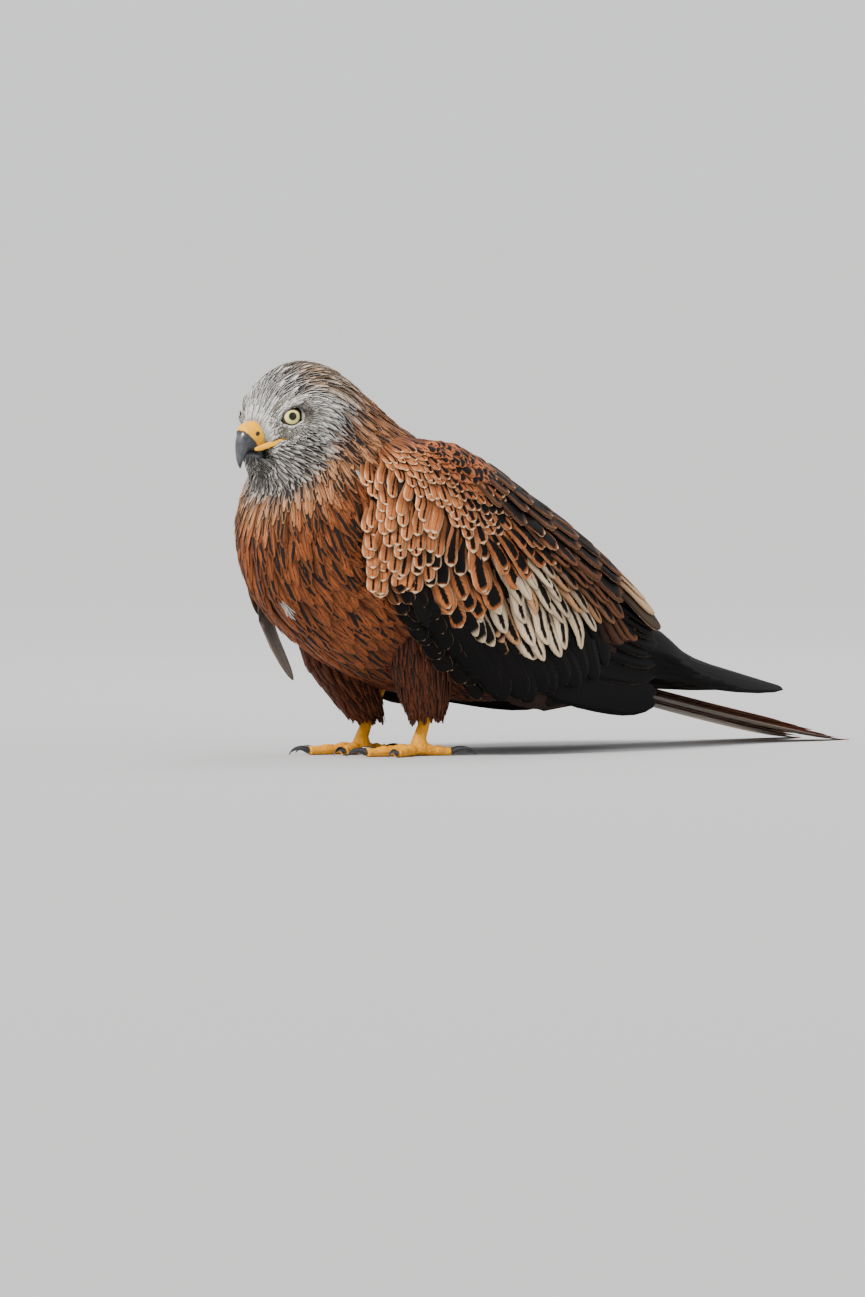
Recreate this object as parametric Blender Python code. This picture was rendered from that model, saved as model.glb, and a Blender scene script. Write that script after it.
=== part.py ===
"""A red kite standing on level ground, at life size, as a still model.

The bird faces -Y, its left side is at +X and the ground is Z = 0.
Sizes and places below are in millimetres, and new_object() turns them into metres.
The plumage is one long tube of oval sections that runs from the face, over the crown and
down the neck, to the tail. It is parted by thin cuts into head, neck and torso. The folded
wings lie on the same tube, which runs on behind the torso as an outline for the wing tips.
"""

import math
import random

import bmesh
import bpy
import numpy as np
from mathutils import Vector

MM = 0.001
GAP = 0.3          # what touching pieces keep between them
SIDES = {"left": 1, "right": -1}
SEEDS = {"left": 11, "right": 12}

# Rows of the plumage tube: y, z of the belly's midline, y, z of the back's midline, half the
# section's width, and how far along from belly to back it is widest.
HEAD_ROWS = [
    (-113, 194, -124, 231, 13, 0.54),
    (-115, 190, -112, 255, 25, 0.56),
    (-116, 188, -86, 268, 33, 0.57),
    (-116, 186, -60, 264, 37, 0.56),
    (-115, 181, -33, 247, 41, 0.54),
]
BREAST_ROWS = [
    (-121, 166, -15, 232, 50, 0.56),
    (-124, 140, -3, 224, 57, 0.60),
    (-109, 105, 16, 213, 62, 0.60),
    (-64, 70, 51, 192, 67, 0.57),
]
RUMP_ROWS = [
    (-2, 45, 91, 168, 62, 0.50),
    (62, 36, 117, 133, 49, 0.45),
    (116, 36, 142, 98, 30, 0.43),
    (152, 40, 166, 72, 18, 0.45),
]
# The folded wings' own rows, behind the breast.
WING_TUBE_ROWS = [
    (-6, 25, 88, 172, 68, 0.56),
    (54, -14, 123, 153, 70, 0.58),
    (124, -19, 166, 128, 60, 0.58),
    (181, -18, 208, 97, 49, 0.62),
    (224, -16, 241, 67, 42, 0.72),
    (268, -13, 278, 52, 35, 0.79),
    (313, -9, 319, 42, 28, 0.83),
    (357, -1, 361, 35, 20, 0.83),
]
FACE_ROW, NECK_ROW, TORSO_ROW = 0, 3.7, 5.0
LAST_ROW = 12
BODY_SIDES = 28
ROUND, SLAB = 2.0, 2.7      # how square the sections are

EYE_CENTRE = (19.0, -108.0, 231.5)
EYE_RADIUS = 8.0
EYE_LOOK = (0.90, -0.42, 0.06)


class Tube:
    """A tube of oval sections across the plane x = 0, its rows joined by Catmull-Rom curves."""

    def __init__(self, rows, square=ROUND):
        self.rows = np.array(rows, float)
        self.power = 2 / square
        self.steps = np.linspace(0, len(rows) - 1, 60 * len(rows))
        middles = np.array([self.frame(step)[0][1:] for step in self.steps])
        lengths = np.hypot(*np.diff(middles, axis=0).T)
        self.lengths = np.concatenate([[0], np.cumsum(lengths)])

    def read(self, row):
        last = len(self.rows) - 1
        at = min(int(max(row, 0)), last - 1)
        t = min(max(row, 0), last) - at
        p0, p1, p2, p3 = (self.rows[min(max(at + k, 0), last)] for k in (-1, 0, 1, 2))
        slope1, slope2 = (p2 - p0) / 2, (p3 - p1) / 2
        return (
            (2 * t**3 - 3 * t**2 + 1) * p1
            + (t**3 - 2 * t**2 + t) * slope1
            + (3 * t**2 - 2 * t**3) * p2
            + (t**3 - t**2) * slope2
        )

    def length_at(self, row):
        return float(np.interp(row, self.steps, self.lengths))

    def row_at(self, length):
        return float(np.interp(length, self.lengths, self.steps))

    def frame(self, row):
        """The section's centre, the direction across it to the tail, and that to the back."""
        values = self.read(row)
        belly, back, share = Vector((0, *values[:2])), Vector((0, *values[2:4])), values[5]
        rise = (back - belly).normalized()
        return belly.lerp(back, share), Vector((0, rise.z, -rise.y)), rise

    def point(self, row, angle, lift=0.0):
        """A point on the surface: angle 0 is the belly's midline, 180 the back's, in degrees."""
        centre, _, rise = self.frame(row)
        values = self.read(row)
        depth = math.hypot(values[2] - values[0], values[3] - values[1])
        turn = math.radians(angle)
        depth *= values[5] if math.cos(turn) > 0 else 1 - values[5]
        across = math.copysign(abs(math.sin(turn)) ** self.power, math.sin(turn))
        down = math.copysign(abs(math.cos(turn)) ** self.power, math.cos(turn))
        return (
            centre
            + Vector((1, 0, 0)) * (values[4] + lift) * across
            - rise * (depth + lift) * down
        )


BODY = Tube(HEAD_ROWS + BREAST_ROWS + RUMP_ROWS)
MANTLE = Tube(BREAST_ROWS + WING_TUBE_ROWS, SLAB)
CHEST_LENGTH = MANTLE.length_at(2)


def new_object(name, points, faces, colour, smooth=True):
    """A mesh object from points in millimetres and its faces."""
    mesh = bpy.data.meshes.new(name)
    mesh.from_pydata([Vector(p) * MM for p in points], [], faces)
    mesh.update()
    obj = bpy.data.objects.new(name, mesh)
    bpy.context.scene.collection.objects.link(obj)
    mesh.materials.append(finish(*colour))
    if smooth:
        mesh.shade_smooth()
    return obj


def finish(name, colour, roughness):
    """The material of that name, made the first time it is asked for."""
    found = bpy.data.materials.get(name)
    if found:
        return found
    made = bpy.data.materials.new(name)
    made.use_nodes = True
    shader = made.node_tree.nodes["Principled BSDF"]
    shader.inputs["Base Color"].default_value = (*colour, 1)
    shader.inputs["Roughness"].default_value = roughness
    return made


HEAD_GREY = ("head_feathers", (0.62, 0.58, 0.52), 0.8)
RUFOUS = ("rufous_feathers", (0.42, 0.17, 0.07), 0.8)
WING_BROWN = ("wing_feathers", (0.16, 0.10, 0.07), 0.7)
TAIL_RUFOUS = ("tail_feathers", (0.50, 0.27, 0.14), 0.7)
YELLOW_SKIN = ("yellow_skin", (0.85, 0.52, 0.06), 0.5)
LID_BROWN = ("lid_skin", (0.10, 0.07, 0.05), 0.6)
HORN = ("horn", (0.04, 0.04, 0.045), 0.3)
IRIS = ("iris", (0.75, 0.72, 0.40), 0.1)


def lofted(rings, first=None, last=None):
    """Points and faces of a closed body through rings of points, with a point at each end."""
    count = len(rings[0])
    points = [p for ring in rings for p in ring]
    points.append(first if first is not None else sum(rings[0], Vector()) / count)
    points.append(last if last is not None else sum(rings[-1], Vector()) / count)
    faces = []
    for k in range(len(rings) - 1):
        for i in range(count):
            j = (i + 1) % count
            a, b = k * count, (k + 1) * count
            faces.append((a + i, b + i, b + j, a + j))
    end = (len(rings) - 1) * count
    for i in range(count):
        j = (i + 1) % count
        faces.append((len(points) - 2, i, j))
        faces.append((len(points) - 1, end + j, end + i))
    return points, faces


def outward(obj):
    """Turns the faces of a closed mesh to point out."""
    work = bmesh.new()
    work.from_mesh(obj.data)
    bmesh.ops.recalc_face_normals(work, faces=work.faces)
    work.to_mesh(obj.data)
    work.free()
    return obj


def combine(obj, others, operation="UNION", solver="EXACT"):
    """Applies one Boolean of obj with a list of closed objects, which are then removed."""
    group = bpy.data.collections.new("cutters")
    bpy.context.scene.collection.children.link(group)
    for other in others:
        bpy.context.scene.collection.objects.unlink(other)
        group.objects.link(other)
    modifier = obj.modifiers.new("join", "BOOLEAN")
    modifier.operation = operation
    modifier.solver = solver
    modifier.operand_type = "COLLECTION"
    modifier.collection = group
    bpy.context.view_layer.update()
    graph = bpy.context.evaluated_depsgraph_get()
    made = bpy.data.meshes.new_from_object(obj.evaluated_get(graph), depsgraph=graph)
    obj.modifiers.clear()
    obj.data = made
    for other in list(group.objects):
        bpy.data.objects.remove(other)
    bpy.data.collections.remove(group)
    keep_largest(obj)
    return obj


def keep_largest(obj):
    """Keeps only the largest closed surface of a mesh, and drops what fusing cut loose."""
    work = bmesh.new()
    work.from_mesh(obj.data)
    bmesh.ops.remove_doubles(work, verts=work.verts, dist=1e-7)
    left = set(work.faces)
    shells = []
    while left:
        start = left.pop()
        shell, edge = {start}, [start]
        while edge:
            face = edge.pop()
            joined = {f for e in face.edges if len(e.link_faces) == 2 for f in e.link_faces}
            for near in joined & left:
                left.discard(near)
                shell.add(near)
                edge.append(near)
        shells.append(shell)
    if len(shells) > 1:
        best = max(shells, key=lambda shell: sum(f.calc_area() for f in shell))
        loose = [f for shell in shells if shell is not best for f in shell]
        bmesh.ops.delete(work, geom=loose, context="FACES")
        bmesh.ops.delete(work, geom=[v for v in work.verts if not v.link_faces], context="VERTS")
    work.to_mesh(obj.data)
    work.free()


def ball(name, centre, radius, colour, squash=(1, 1, 1), steps=(18, 10)):
    """A closed ball, used as an eye or as a cutter."""
    work = bmesh.new()
    bmesh.ops.create_uvsphere(work, u_segments=steps[0], v_segments=steps[1], radius=1)
    points = [
        Vector(centre) + Vector([v.co[k] * radius * squash[k] for k in range(3)])
        for v in work.verts
    ]
    faces = [[v.index for v in f.verts] for f in work.faces]
    work.free()
    return outward(new_object(name, points, faces, colour))


def ellipse_tube(path, sizes, sides, floor=None):
    """Rings of an oval tube along a path; sizes are half width and half height at each point."""
    rings = []
    for k, (point, (wide, high)) in enumerate(zip(path, sizes)):
        run = (path[min(k + 1, len(path) - 1)] - path[max(k - 1, 0)]).normalized()
        side = run.cross(Vector((0, 0, 1)))
        side = side.normalized() if side.length > 1e-3 else Vector((1, 0, 0))
        rise = side.cross(run)
        ring = []
        for i in range(sides):
            turn = 2 * math.pi * i / sides
            at = point + side * wide * math.cos(turn) + rise * high * math.sin(turn)
            if floor is not None:
                at.z = max(at.z, floor)
            ring.append(at)
        rings.append(ring)
    return rings


def tube(name, path, sizes, colour, sides=10, floor=None, first=None, last=None):
    path = [Vector(p) for p in path]
    rings = ellipse_tube(path, sizes, sides, floor)
    points, faces = lofted(rings, first, last)
    return outward(new_object(name, points, faces, colour))


def mirrored(point, side):
    return Vector((point[0] * side, point[1], point[2]))


def shaped(row, angle):
    """A point of the plumage, with the brow, the eye's hollow and the cheek worked into it."""
    base = BODY.point(row, angle)
    if row > NECK_ROW:
        return base
    side = 1 if base.x > 0 else -1
    eye = mirrored(EYE_CENTRE, side)
    bumps = [
        (eye + Vector((side * 7, 1, 10)), 6.5, 2.4),
        (eye + Vector((side * 7, -1, -0.5)), 7.0, -2.6),
        (eye + Vector((side * 6, 11, -14)), 10.0, 1.8),
        (eye + Vector((side * 0, -12, -6)), 6.0, -1.4),
    ]
    centre, _, _ = BODY.frame(row)
    out = (base - centre).normalized()
    push = sum(height * math.exp(-((base - at).length / reach) ** 2) for at, reach, height in bumps)
    return base + out * push


def plumage(name, first_row, last_row, steps, colour, front=None, rear=None):
    """A length of the plumage tube, with its two cut ends set half a gap back."""
    rings = []
    for k in range(steps + 1):
        row = first_row + (last_row - first_row) * k / steps
        _, run, _ = BODY.frame(row)
        slip = run * (GAP / 2 if k == 0 and front is None else -GAP / 2 if k == steps and rear is None else 0)
        ring = [shaped(row, 360 * i / BODY_SIDES) + slip for i in range(BODY_SIDES)]
        rings.append(ring)
    points, faces = lofted(rings, front, rear)
    return outward(new_object(name, points, faces, colour))


# Beak rows from the tip back, in the same six numbers.
BEAK_ROWS = [
    (-134.6, 196.0, -136.2, 196.4, 0.7, 0.50),
    (-133.8, 200.6, -139.0, 202.0, 2.0, 0.50),
    (-132.0, 204.0, -140.4, 208.5, 3.6, 0.50),
    (-130.8, 206.2, -140.0, 216.0, 5.0, 0.48),
    (-129.4, 207.4, -137.4, 222.2, 6.2, 0.46),
    (-127.6, 208.0, -133.6, 226.2, 7.0, 0.45),
    (-124.6, 208.2, -128.6, 228.2, 7.8, 0.44),
    (-120.6, 208.0, -122.6, 229.2, 8.6, 0.43),
    (-116.0, 208.0, -117.0, 229.4, 9.0, 0.43),
]
CERE_ROW = 4.5
CERE_LIFT = 0.8
NOSTRIL = (7.6, -127.0, 220.4)
LOWER_BILL_ROWS = [
    (-133.4, 203.8, -133.9, 206.0, 1.4, 0.6),
    (-130.8, 201.0, -131.2, 208.2, 4.0, 0.6),
    (-126.0, 199.2, -126.0, 209.6, 5.8, 0.6),
    (-112.5, 196.6, -112.5, 209.6, 7.4, 0.6),
]
BILL_SIDES = 16


def horn_piece(name, rows, first, last, steps, colour, lift=0.0):
    """A length of a beak tube, with its cut ends set half a gap back."""
    form = Tube(rows)
    rings = []
    for k in range(steps + 1):
        row = first + (last - first) * k / steps
        slip = form.frame(row)[1] * (GAP / 2 if k == 0 else -GAP / 2 if k == steps else 0)
        rings.append([form.point(row, 360 * i / BILL_SIDES, lift) + slip for i in range(BILL_SIDES)])
    return outward(new_object(name, *lofted(rings), colour))


def head(beak_pieces, lids):
    skull = plumage("head", FACE_ROW, NECK_ROW, 11, HEAD_GREY)
    combine(skull, [gape(side) for side in SIDES.values()])
    cutters = [swollen(piece, GAP) for piece in beak_pieces + lids]
    cutters += [
        ball("socket", mirrored(EYE_CENTRE, side), EYE_RADIUS + GAP, HEAD_GREY, steps=(14, 9))
        for side in SIDES.values()
    ]
    combine(skull, cutters, "DIFFERENCE")


LID_TURN = math.radians(52)
LID_THICK = 0.95


def lid(name, side):
    """The ring of bare skin round an eye, which lies on the eyeball."""
    eye, look = mirrored(EYE_CENTRE, side), mirrored(EYE_LOOK, side).normalized()
    across = look.cross(Vector((0, 0, 1))).normalized()
    up = across.cross(look)
    away = EYE_RADIUS + GAP + LID_THICK
    centre, reach = eye + look * away * math.cos(LID_TURN), away * math.sin(LID_TURN)
    points, faces = [], []
    around, thick = 18, 6
    for i in range(around):
        turn = 2 * math.pi * i / around
        out = across * math.cos(turn) + up * math.sin(turn)
        for k in range(thick):
            roll = 2 * math.pi * k / thick
            inward = LID_THICK * math.cos(roll)
            points.append(centre + out * (reach + inward) + look * LID_THICK * math.sin(roll))
            a, b = i * thick, (i + 1) % around * thick
            faces.append((a + k, b + k, b + (k + 1) % thick, a + (k + 1) % thick))
    return outward(new_object("eyelid_" + name, points, faces, LID_BROWN))


GAPE = [(8.2, -117.5, 209.5), (13.5, -114, 211.5), (19.0, -108, 214.0), (23.4, -101, 216.4)]


def gape(side):
    """The fleshy line of the mouth from the beak to below the eye."""
    return tube("gape", [mirrored(p, side) for p in GAPE], [(1.8, 2.0), (1.8, 1.9), (1.6, 1.6), (0.9, 0.8)], HEAD_GREY, 6)


def beak():
    upper = horn_piece("bill_upper", BEAK_ROWS, 0, CERE_ROW, 9, HORN)
    lower = horn_piece("bill_lower", LOWER_BILL_ROWS, 0, len(LOWER_BILL_ROWS) - 1, 5, HORN)
    last = len(BEAK_ROWS) - 1
    band = horn_piece("cere", BEAK_ROWS, CERE_ROW, last, 3, YELLOW_SKIN, CERE_LIFT)
    combine(lower, [swollen(upper, GAP), swollen(band, GAP)], "DIFFERENCE")
    return [upper, lower, band]


def nostrils(band):
    """The oval openings high on the cere."""
    holes = [
        ball("nostril", mirrored(NOSTRIL, side), 1.5, YELLOW_SKIN, (1.2, 1.3, 0.85), (10, 6))
        for side in SIDES.values()
    ]
    combine(band, holes, "DIFFERENCE")


def eyes():
    for name, side in SIDES.items():
        ball(f"eye_{name}", mirrored(EYE_CENTRE, side), EYE_RADIUS, IRIS)


# Feet. Each toe is its turn from straight ahead (outwards is positive), its length and its
# half width, and the length of its claw.
FOOT_AT = {"left": (25, 2), "right": (-26, -5)}
FOOT_TURN = 12      # both feet point a little to the bird's right
TOES = {
    "inner": (-38, 27, 4.2, 19),
    "middle": (0, 39, 4.4, 17),
    "outer": (34, 30, 4.0, 14),
    "hind": (168, 24, 4.3, 20),
}
TARSUS_TOP = {"left": (28, 16, 46), "right": (-28, 16, 46)}
ANKLE_CUT = 11.0
CLAW_TIP = 0.45


def toe_run(side, turn):
    """The direction on the ground of a toe."""
    angle = math.radians(turn * side - FOOT_TURN)
    return Vector((math.sin(angle), -math.cos(angle), 0))


def toe(side, foot, spec):
    turn, length, thick, _ = spec
    run = toe_run(side, turn)
    path, sizes = [], []
    steps = 7
    for k in range(steps):
        part = k / (steps - 1)
        swell = 1 + 0.10 * math.cos(part * 3 * 2 * math.pi)
        size = thick * (1.0 - 0.26 * part) * swell
        path.append(foot + run * (length * part) + Vector((0, 0, size * 0.86 + 1.0 * (1 - part))))
        sizes.append((size, size))
    return tube("toe", path, sizes, YELLOW_SKIN, 8, floor=0.0)


def claw(name, side, foot, spec):
    """A horn that arches from the toe's end down to the ground."""
    turn, length, thick, reach = spec
    run = toe_run(side, turn)
    base = thick * 0.8
    at = foot + run * (length + 0.3 + GAP) + Vector((0, 0, base))
    path = [at, at + run * 1.2]
    steps = 6
    fall = sum(math.sin(math.radians(38 - 106 * (k + 0.5) / steps)) for k in range(steps))
    for k in range(steps):
        angle = math.radians(38 - 106 * (k + 0.5) / steps)
        drop = math.sin(angle) * (base - CLAW_TIP) / -fall if fall < 0 else 0
        path.append(path[-1] + run * (math.cos(angle) * reach / steps) + Vector((0, 0, drop)))
    sizes = []
    for k in range(len(path)):
        size = max(base * 0.74 * (1 - k / (len(path) - 0.6)) ** 0.75, CLAW_TIP)
        sizes.append((size * 0.82, size))
    return tube(name, path, sizes, HORN, 8, floor=0.0)


def leg(name, side):
    foot = Vector((*FOOT_AT[name], 0))
    top = Vector(TARSUS_TOP[name])
    instep = [foot + Vector((0, 2, height)) for height in (2.2, 6, ANKLE_CUT - GAP / 2)]
    sole = tube("foot_" + name, instep, [(6.4, 6.8), (6.6, 7.0), (5.0, 5.6)], YELLOW_SKIN, 12, floor=0.0)
    combine(sole, [toe(side, foot, spec) for spec in TOES.values()])
    for which, spec in TOES.items():
        claw(f"claw_{name}_{which}", side, foot, spec)
    start = instep[-1] + Vector((0, 0, GAP))
    shank = [start.lerp(top, part) for part in (0, 0.3, 0.65, 1)]
    rings = []
    for centre, (wide, deep) in zip(shank, [(4.6, 5.2), (3.8, 4.4), (4.0, 4.8), (4.4, 5.4)]):
        rings.append([
            centre + Vector((wide * math.cos(2 * math.pi * i / 12), deep * math.sin(2 * math.pi * i / 12), 0))
            for i in range(12)
        ])
    outward(new_object("tarsus_" + name, *lofted(rings), YELLOW_SKIN))


# Feathered thighs: x, y, z of each level ring's centre, and its half widths across and along.
THIGH_ROWS = {
    "left": [(40, 6, 112, 20, 34), (37, -2, 84, 21, 33), (33, 0, 58, 17, 26), (29, 6, 36, 12, 18), (27.5, 8, 24, 8.5, 12.5)],
    "right": [(-40, -8, 112, 20, 34), (-38, -16, 84, 21, 33), (-34, -14, 58, 17, 27), (-29.5, -2, 34, 12, 18), (-27.5, 4, 22, 8.5, 12.5)],
}


def thigh(name, torso):
    rows = THIGH_ROWS[name]
    rings = []
    for x, y, z, wide, long in rows:
        rings.append([
            Vector((x + wide * math.cos(2 * math.pi * i / 16), y + long * math.sin(2 * math.pi * i / 16), z))
            for i in range(16)
        ])
    made = outward(new_object("thigh_" + name, *lofted(rings), RUFOUS))
    combine(made, [swollen(torso, GAP), swollen(bpy.data.objects["tarsus_" + name], GAP)], "DIFFERENCE")
    return made


def swollen(obj, by):
    """A copy of a closed object grown by a distance, used to cut its neighbour clear of it."""
    work = bmesh.new()
    work.from_mesh(obj.data)
    work.normal_update()
    grown = [v.co + v.normal * by * MM for v in work.verts]
    for vert, place in zip(work.verts, grown):
        vert.co = place
    copy = bpy.data.objects.new("grown", bpy.data.meshes.new("grown"))
    work.to_mesh(copy.data)
    work.free()
    bpy.context.scene.collection.objects.link(copy)
    return copy


# The folded wing lies on the mantle tube. A place on it is a distance along the tube from the
# chest and an angle round it. Each row here is such a distance, the angles of the lower and
# upper edges of the wing's core, and the core's thickness.
WING_ROWS = [
    (-32, 90, 112, 3),
    (-22, 80, 126, 7),
    (0, 71, 142, 9),
    (30, 65, 156, 9),
    (62, 61, 165, 7.5),
    (100, 60, 172, 5),
    (140, 62, 176, 3.2),
    (180, 70, 177, 2.2),
    (212, 86, 176, 1.6),
]
WING_STEPS = 10
WING_ACROSS = 6
UNDERWING_GAP = 1.5
VANE = 0.7          # a vane's thickness
VANE_GAP = 0.4
CAMBER = 1 / 150    # how much a vane curves across

# Tiers of vanes, from the lowest to the topmost: how many, the places of the first and the
# last feather's root, those of their tips, width, and height of the tip above the tube.
TIERS = {
    "primary": (5, (88, 60), (132, 78), (420, 148), (312, 130), 28, 2.6),
    "secondary": (5, (112, 76), (186, 124), (268, 80), (250, 132), 34, 4.8),
    "tertial": (2, (170, 146), (174, 163), (250, 144), (242, 165), 36, 7.0),
    "greater_covert": (5, (90, 73), (178, 116), (120, 62), (228, 98), 30, 8.0),
    "primary_covert": (2, (30, 66), (60, 71), (96, 58), (120, 63), 20, 7.4),
    "alula": (1, (0, 66), (0, 66), (76, 52), (76, 52), 22, 5.0),
    "median_covert": (5, (60, 83), (146, 122), (100, 76), (200, 104), 29, 10.8),
    "lesser_covert_2": (4, (26, 88), (90, 122), (64, 81), (136, 113), 30, 13.0),
    "lesser_covert_1": (3, (-10, 92), (34, 119), (26, 82), (76, 120), 30, 14.0),
    "scapular_2": (3, (112, 126), (126, 160), (210, 120), (212, 165), 36, 10.2),
    "scapular_1": (3, (34, 131), (56, 156), (126, 122), (134, 163), 33, 13.0),
}
# The right wing hangs a little open: root, tip, width and height of its loose outer vane.
LOOSE_VANE = ((4, 92), (84, 51), 27, 18.5)
LONG_TIERS = ("primary", "secondary", "tertial")
LONG_SHAPE = ((0, 0.45), (0.4, 0.9), (0.74, 1), (0.92, 0.74), (1, 0.2))
SHORT_SHAPE = ((0, 0.6), (0.55, 1), (0.86, 0.8), (1, 0.25))


def on_mantle(place, lift):
    return MANTLE.point(MANTLE.row_at(CHEST_LENGTH + place[0]), place[1], lift)


def core_edges(along):
    """The core's lower and upper angle and its thickness."""
    rows = np.array(WING_ROWS, float)
    return [float(np.interp(along, rows[:, 0], rows[:, c])) for c in (1, 2, 3)]


def core_top(place):
    """The height of the core's outer face above the tube."""
    low, high, thick = core_edges(place[0])
    share = min(max((place[1] - low) / (high - low), 0.0), 1.0)
    return UNDERWING_GAP + 0.5 + thick * math.sqrt(max(0.0, 1 - (2 * share - 1) ** 4))


def strip(points, columns, thick_way, thickness, sides_name, colour):
    """A closed vane through rows of points, both faces split into the same triangles."""
    rows = len(points) // columns
    upper = [p + n * t / 2 for p, n, t in zip(points, thick_way, thickness)]
    lower = [p - n * t / 2 for p, n, t in zip(points, thick_way, thickness)]
    under = len(points)
    faces = []
    for k in range(rows - 1):
        for i in range(columns - 1):
            a, b = k * columns + i, k * columns + i + 1
            c, d = a + columns, b + columns
            faces += [(a, b, d), (a, d, c), (under + a, under + d, under + b), (under + a, under + c, under + d)]
    rim = [k * columns for k in range(rows)]
    rim += [(rows - 1) * columns + i for i in range(1, columns)]
    rim += [k * columns + columns - 1 for k in range(rows - 2, -1, -1)]
    rim += [i for i in range(columns - 2, 0, -1)]
    for a, b in zip(rim, rim[1:] + rim[:1]):
        faces += [(a, under + a, under + b), (a, under + b, b)]
    return outward(new_object(sides_name, upper + lower, faces, colour))


def wing_vane(root, tip, width, height, slope, shape, side, bend=1.0):
    """One feather on the wing: its root lies in the core and its tip at a height above it."""
    points, ways, thickness = [], [], []
    start = core_top(root) - VANE * 0.8
    for part, reach in shape:
        lift = start + (height - start) * min(1.0, part * 1.6)
        place, ahead, behind = (
            (root[0] + (tip[0] - root[0]) * at, root[1] + (tip[1] - root[1]) * abs(at) ** bend)
            for at in (part, part + 0.02, part - 0.02)
        )
        here = on_mantle(place, lift)
        run = (on_mantle(ahead, lift) - on_mantle(behind, lift)).normalized()
        out = (on_mantle(place, lift + 1) - on_mantle(place, lift - 1)).normalized()
        down = run.cross(out).normalized()
        out = (out - run * out.dot(run)).normalized()
        for i in (0, 1):
            across = (2 * i - 1) * width / 2 * reach
            drop = across * across * CAMBER
            at = here + down * across + out * (slope * across - drop)
            points.append(mirrored(at, side))
            ways.append(mirrored(out, side))
            thickness.append(VANE if part < 1 else VANE * 0.6)
    return strip(points, 2, ways, thickness, "vane", WING_BROWN)


def wing_tier(name, side, chance):
    count, root_a, root_b, tip_a, tip_b, width, height = TIERS[name]
    long = name in LONG_TIERS
    vanes = []
    spread = (on_mantle(tip_a, height) - on_mantle(tip_b, height)).length / max(count - 1, 1)
    slope = min((VANE + VANE_GAP) / max(spread, 4.0), 0.16)
    for k in range(count):
        part = k / max(count - 1, 1)
        root, tip = (
            [a[i] + (b[i] - a[i]) * part for i in (0, 1)] for a, b in ((root_a, root_b), (tip_a, tip_b))
        )
        tip[0] += chance.uniform(-2.5, 2.5)
        wide = width * chance.uniform(0.95, 1.05)
        shape = LONG_SHAPE if long else SHORT_SHAPE
        bend = 1.35 if name == "primary" else 1.0
        vanes.append(wing_vane(root, tip, wide, height, slope, shape, side, bend))
    return vanes


def wing(name, side):
    first, last = WING_ROWS[0][0], WING_ROWS[-1][0]
    points, ways, thickness = [], [], []
    for k in range(WING_STEPS + 1):
        along = first + (last - first) * (k / WING_STEPS) ** 1.15
        low, high, _ = core_edges(along)
        for i in range(WING_ACROSS + 1):
            place = (along, low + (high - low) * i / WING_ACROSS)
            top, under = (
                mirrored(on_mantle(place, lift), side) for lift in (core_top(place), UNDERWING_GAP)
            )
            points.append((top + under) / 2)
            ways.append((top - under).normalized())
            thickness.append((top - under).length)
    made = strip(points, WING_ACROSS + 1, ways, thickness, "wing_" + name, WING_BROWN)
    chance = random.Random(SEEDS[name])
    vanes = [vane for tier in TIERS for vane in wing_tier(tier, side, chance)]
    if name == "right":
        root, tip, width, height = LOOSE_VANE
        vanes.append(wing_vane(root, tip, width, height, 0.0, SHORT_SHAPE, side))
    combine(made, vanes)


# The tail runs down from its root and lies on the ground at its tips. Each half has six
# feathers, the middle ones on top and the outer ones longest.
TAIL_ROOT = (100, 70)
TAIL_REACH = 308
TAIL_FORK = 46
TAIL_FEATHERS = 6
TAIL_WIDTH = 25
TAIL_LAYER = 1.25
TAIL_SHAPE = ((0, 0.35), (0.3, 0.66), (0.6, 0.88), (0.88, 1), (0.965, 0.7), (1, 0.2))


def tail_height(y):
    """The height above the ground of the tail's lowest layer."""
    part = (y - TAIL_ROOT[0]) / TAIL_REACH
    return (TAIL_ROOT[1] - 6) * max(0.0, 1 - part / 0.97) ** 1.12 + VANE / 2


def rectrix(order, side):
    """One tail feather; order 0 is next to the middle and lies on top."""
    outer = order / (TAIL_FEATHERS - 1)
    length = TAIL_REACH - TAIL_FORK * (1 - outer) ** 1.3
    points, ways, thickness = [], [], []
    for part, reach in TAIL_SHAPE:
        y = TAIL_ROOT[0] + length * part
        middle = 2.5 + 1.4 * order + (0.5 + 2.9 * order) * part**0.8
        lift = (TAIL_FEATHERS - 1 - order) * TAIL_LAYER + (0.55 if side > 0 and order < 3 else 0)
        for i in range(2):
            across = (2 * i - 1) * TAIL_WIDTH / 2 * reach
            x = middle + across
            z = tail_height(y) + lift + max(0.0, 0.03 * -across) * (1 - outer)
            points.append(Vector((x * side, y, z)))
            ways.append(Vector((0, 0, 1)))
            thickness.append(VANE if part < 1 else VANE * 0.6)
    return strip(points, 2, ways, thickness, "vane", TAIL_RUFOUS)


def tail():
    rings = []
    for y, wide, deep, rise in ((104, 15, 11, 4), (140, 17, 9, 3.6), (172, 15, 5.5, 3), (196, 10, 2.6, 3)):
        centre = Vector((0, y, tail_height(y) + rise))
        rings.append([
            centre + Vector((wide * math.cos(math.pi * i / 8), 0, deep * math.sin(math.pi * i / 8)))
            for i in range(16)
        ])
    made = outward(new_object("tail", *lofted(rings), TAIL_RUFOUS))
    combine(made, [rectrix(k, side) for side in SIDES.values() for k in range(TAIL_FEATHERS)])
    return made


def stand_on_origin():
    """Moves every node so that the middle of the whole bird's box, at its foot, is the origin."""
    nodes = list(bpy.context.scene.collection.objects)
    places = np.array([v.co for obj in nodes for v in obj.data.vertices])
    low, high = places.min(axis=0), places.max(axis=0)
    shift = Vector((-(low[0] + high[0]) / 2, -(low[1] + high[1]) / 2, -low[2]))
    for obj in nodes:
        for vert in obj.data.vertices:
            vert.co += shift


def clear_scene():
    for obj in list(bpy.data.objects):
        bpy.data.objects.remove(obj)


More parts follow.
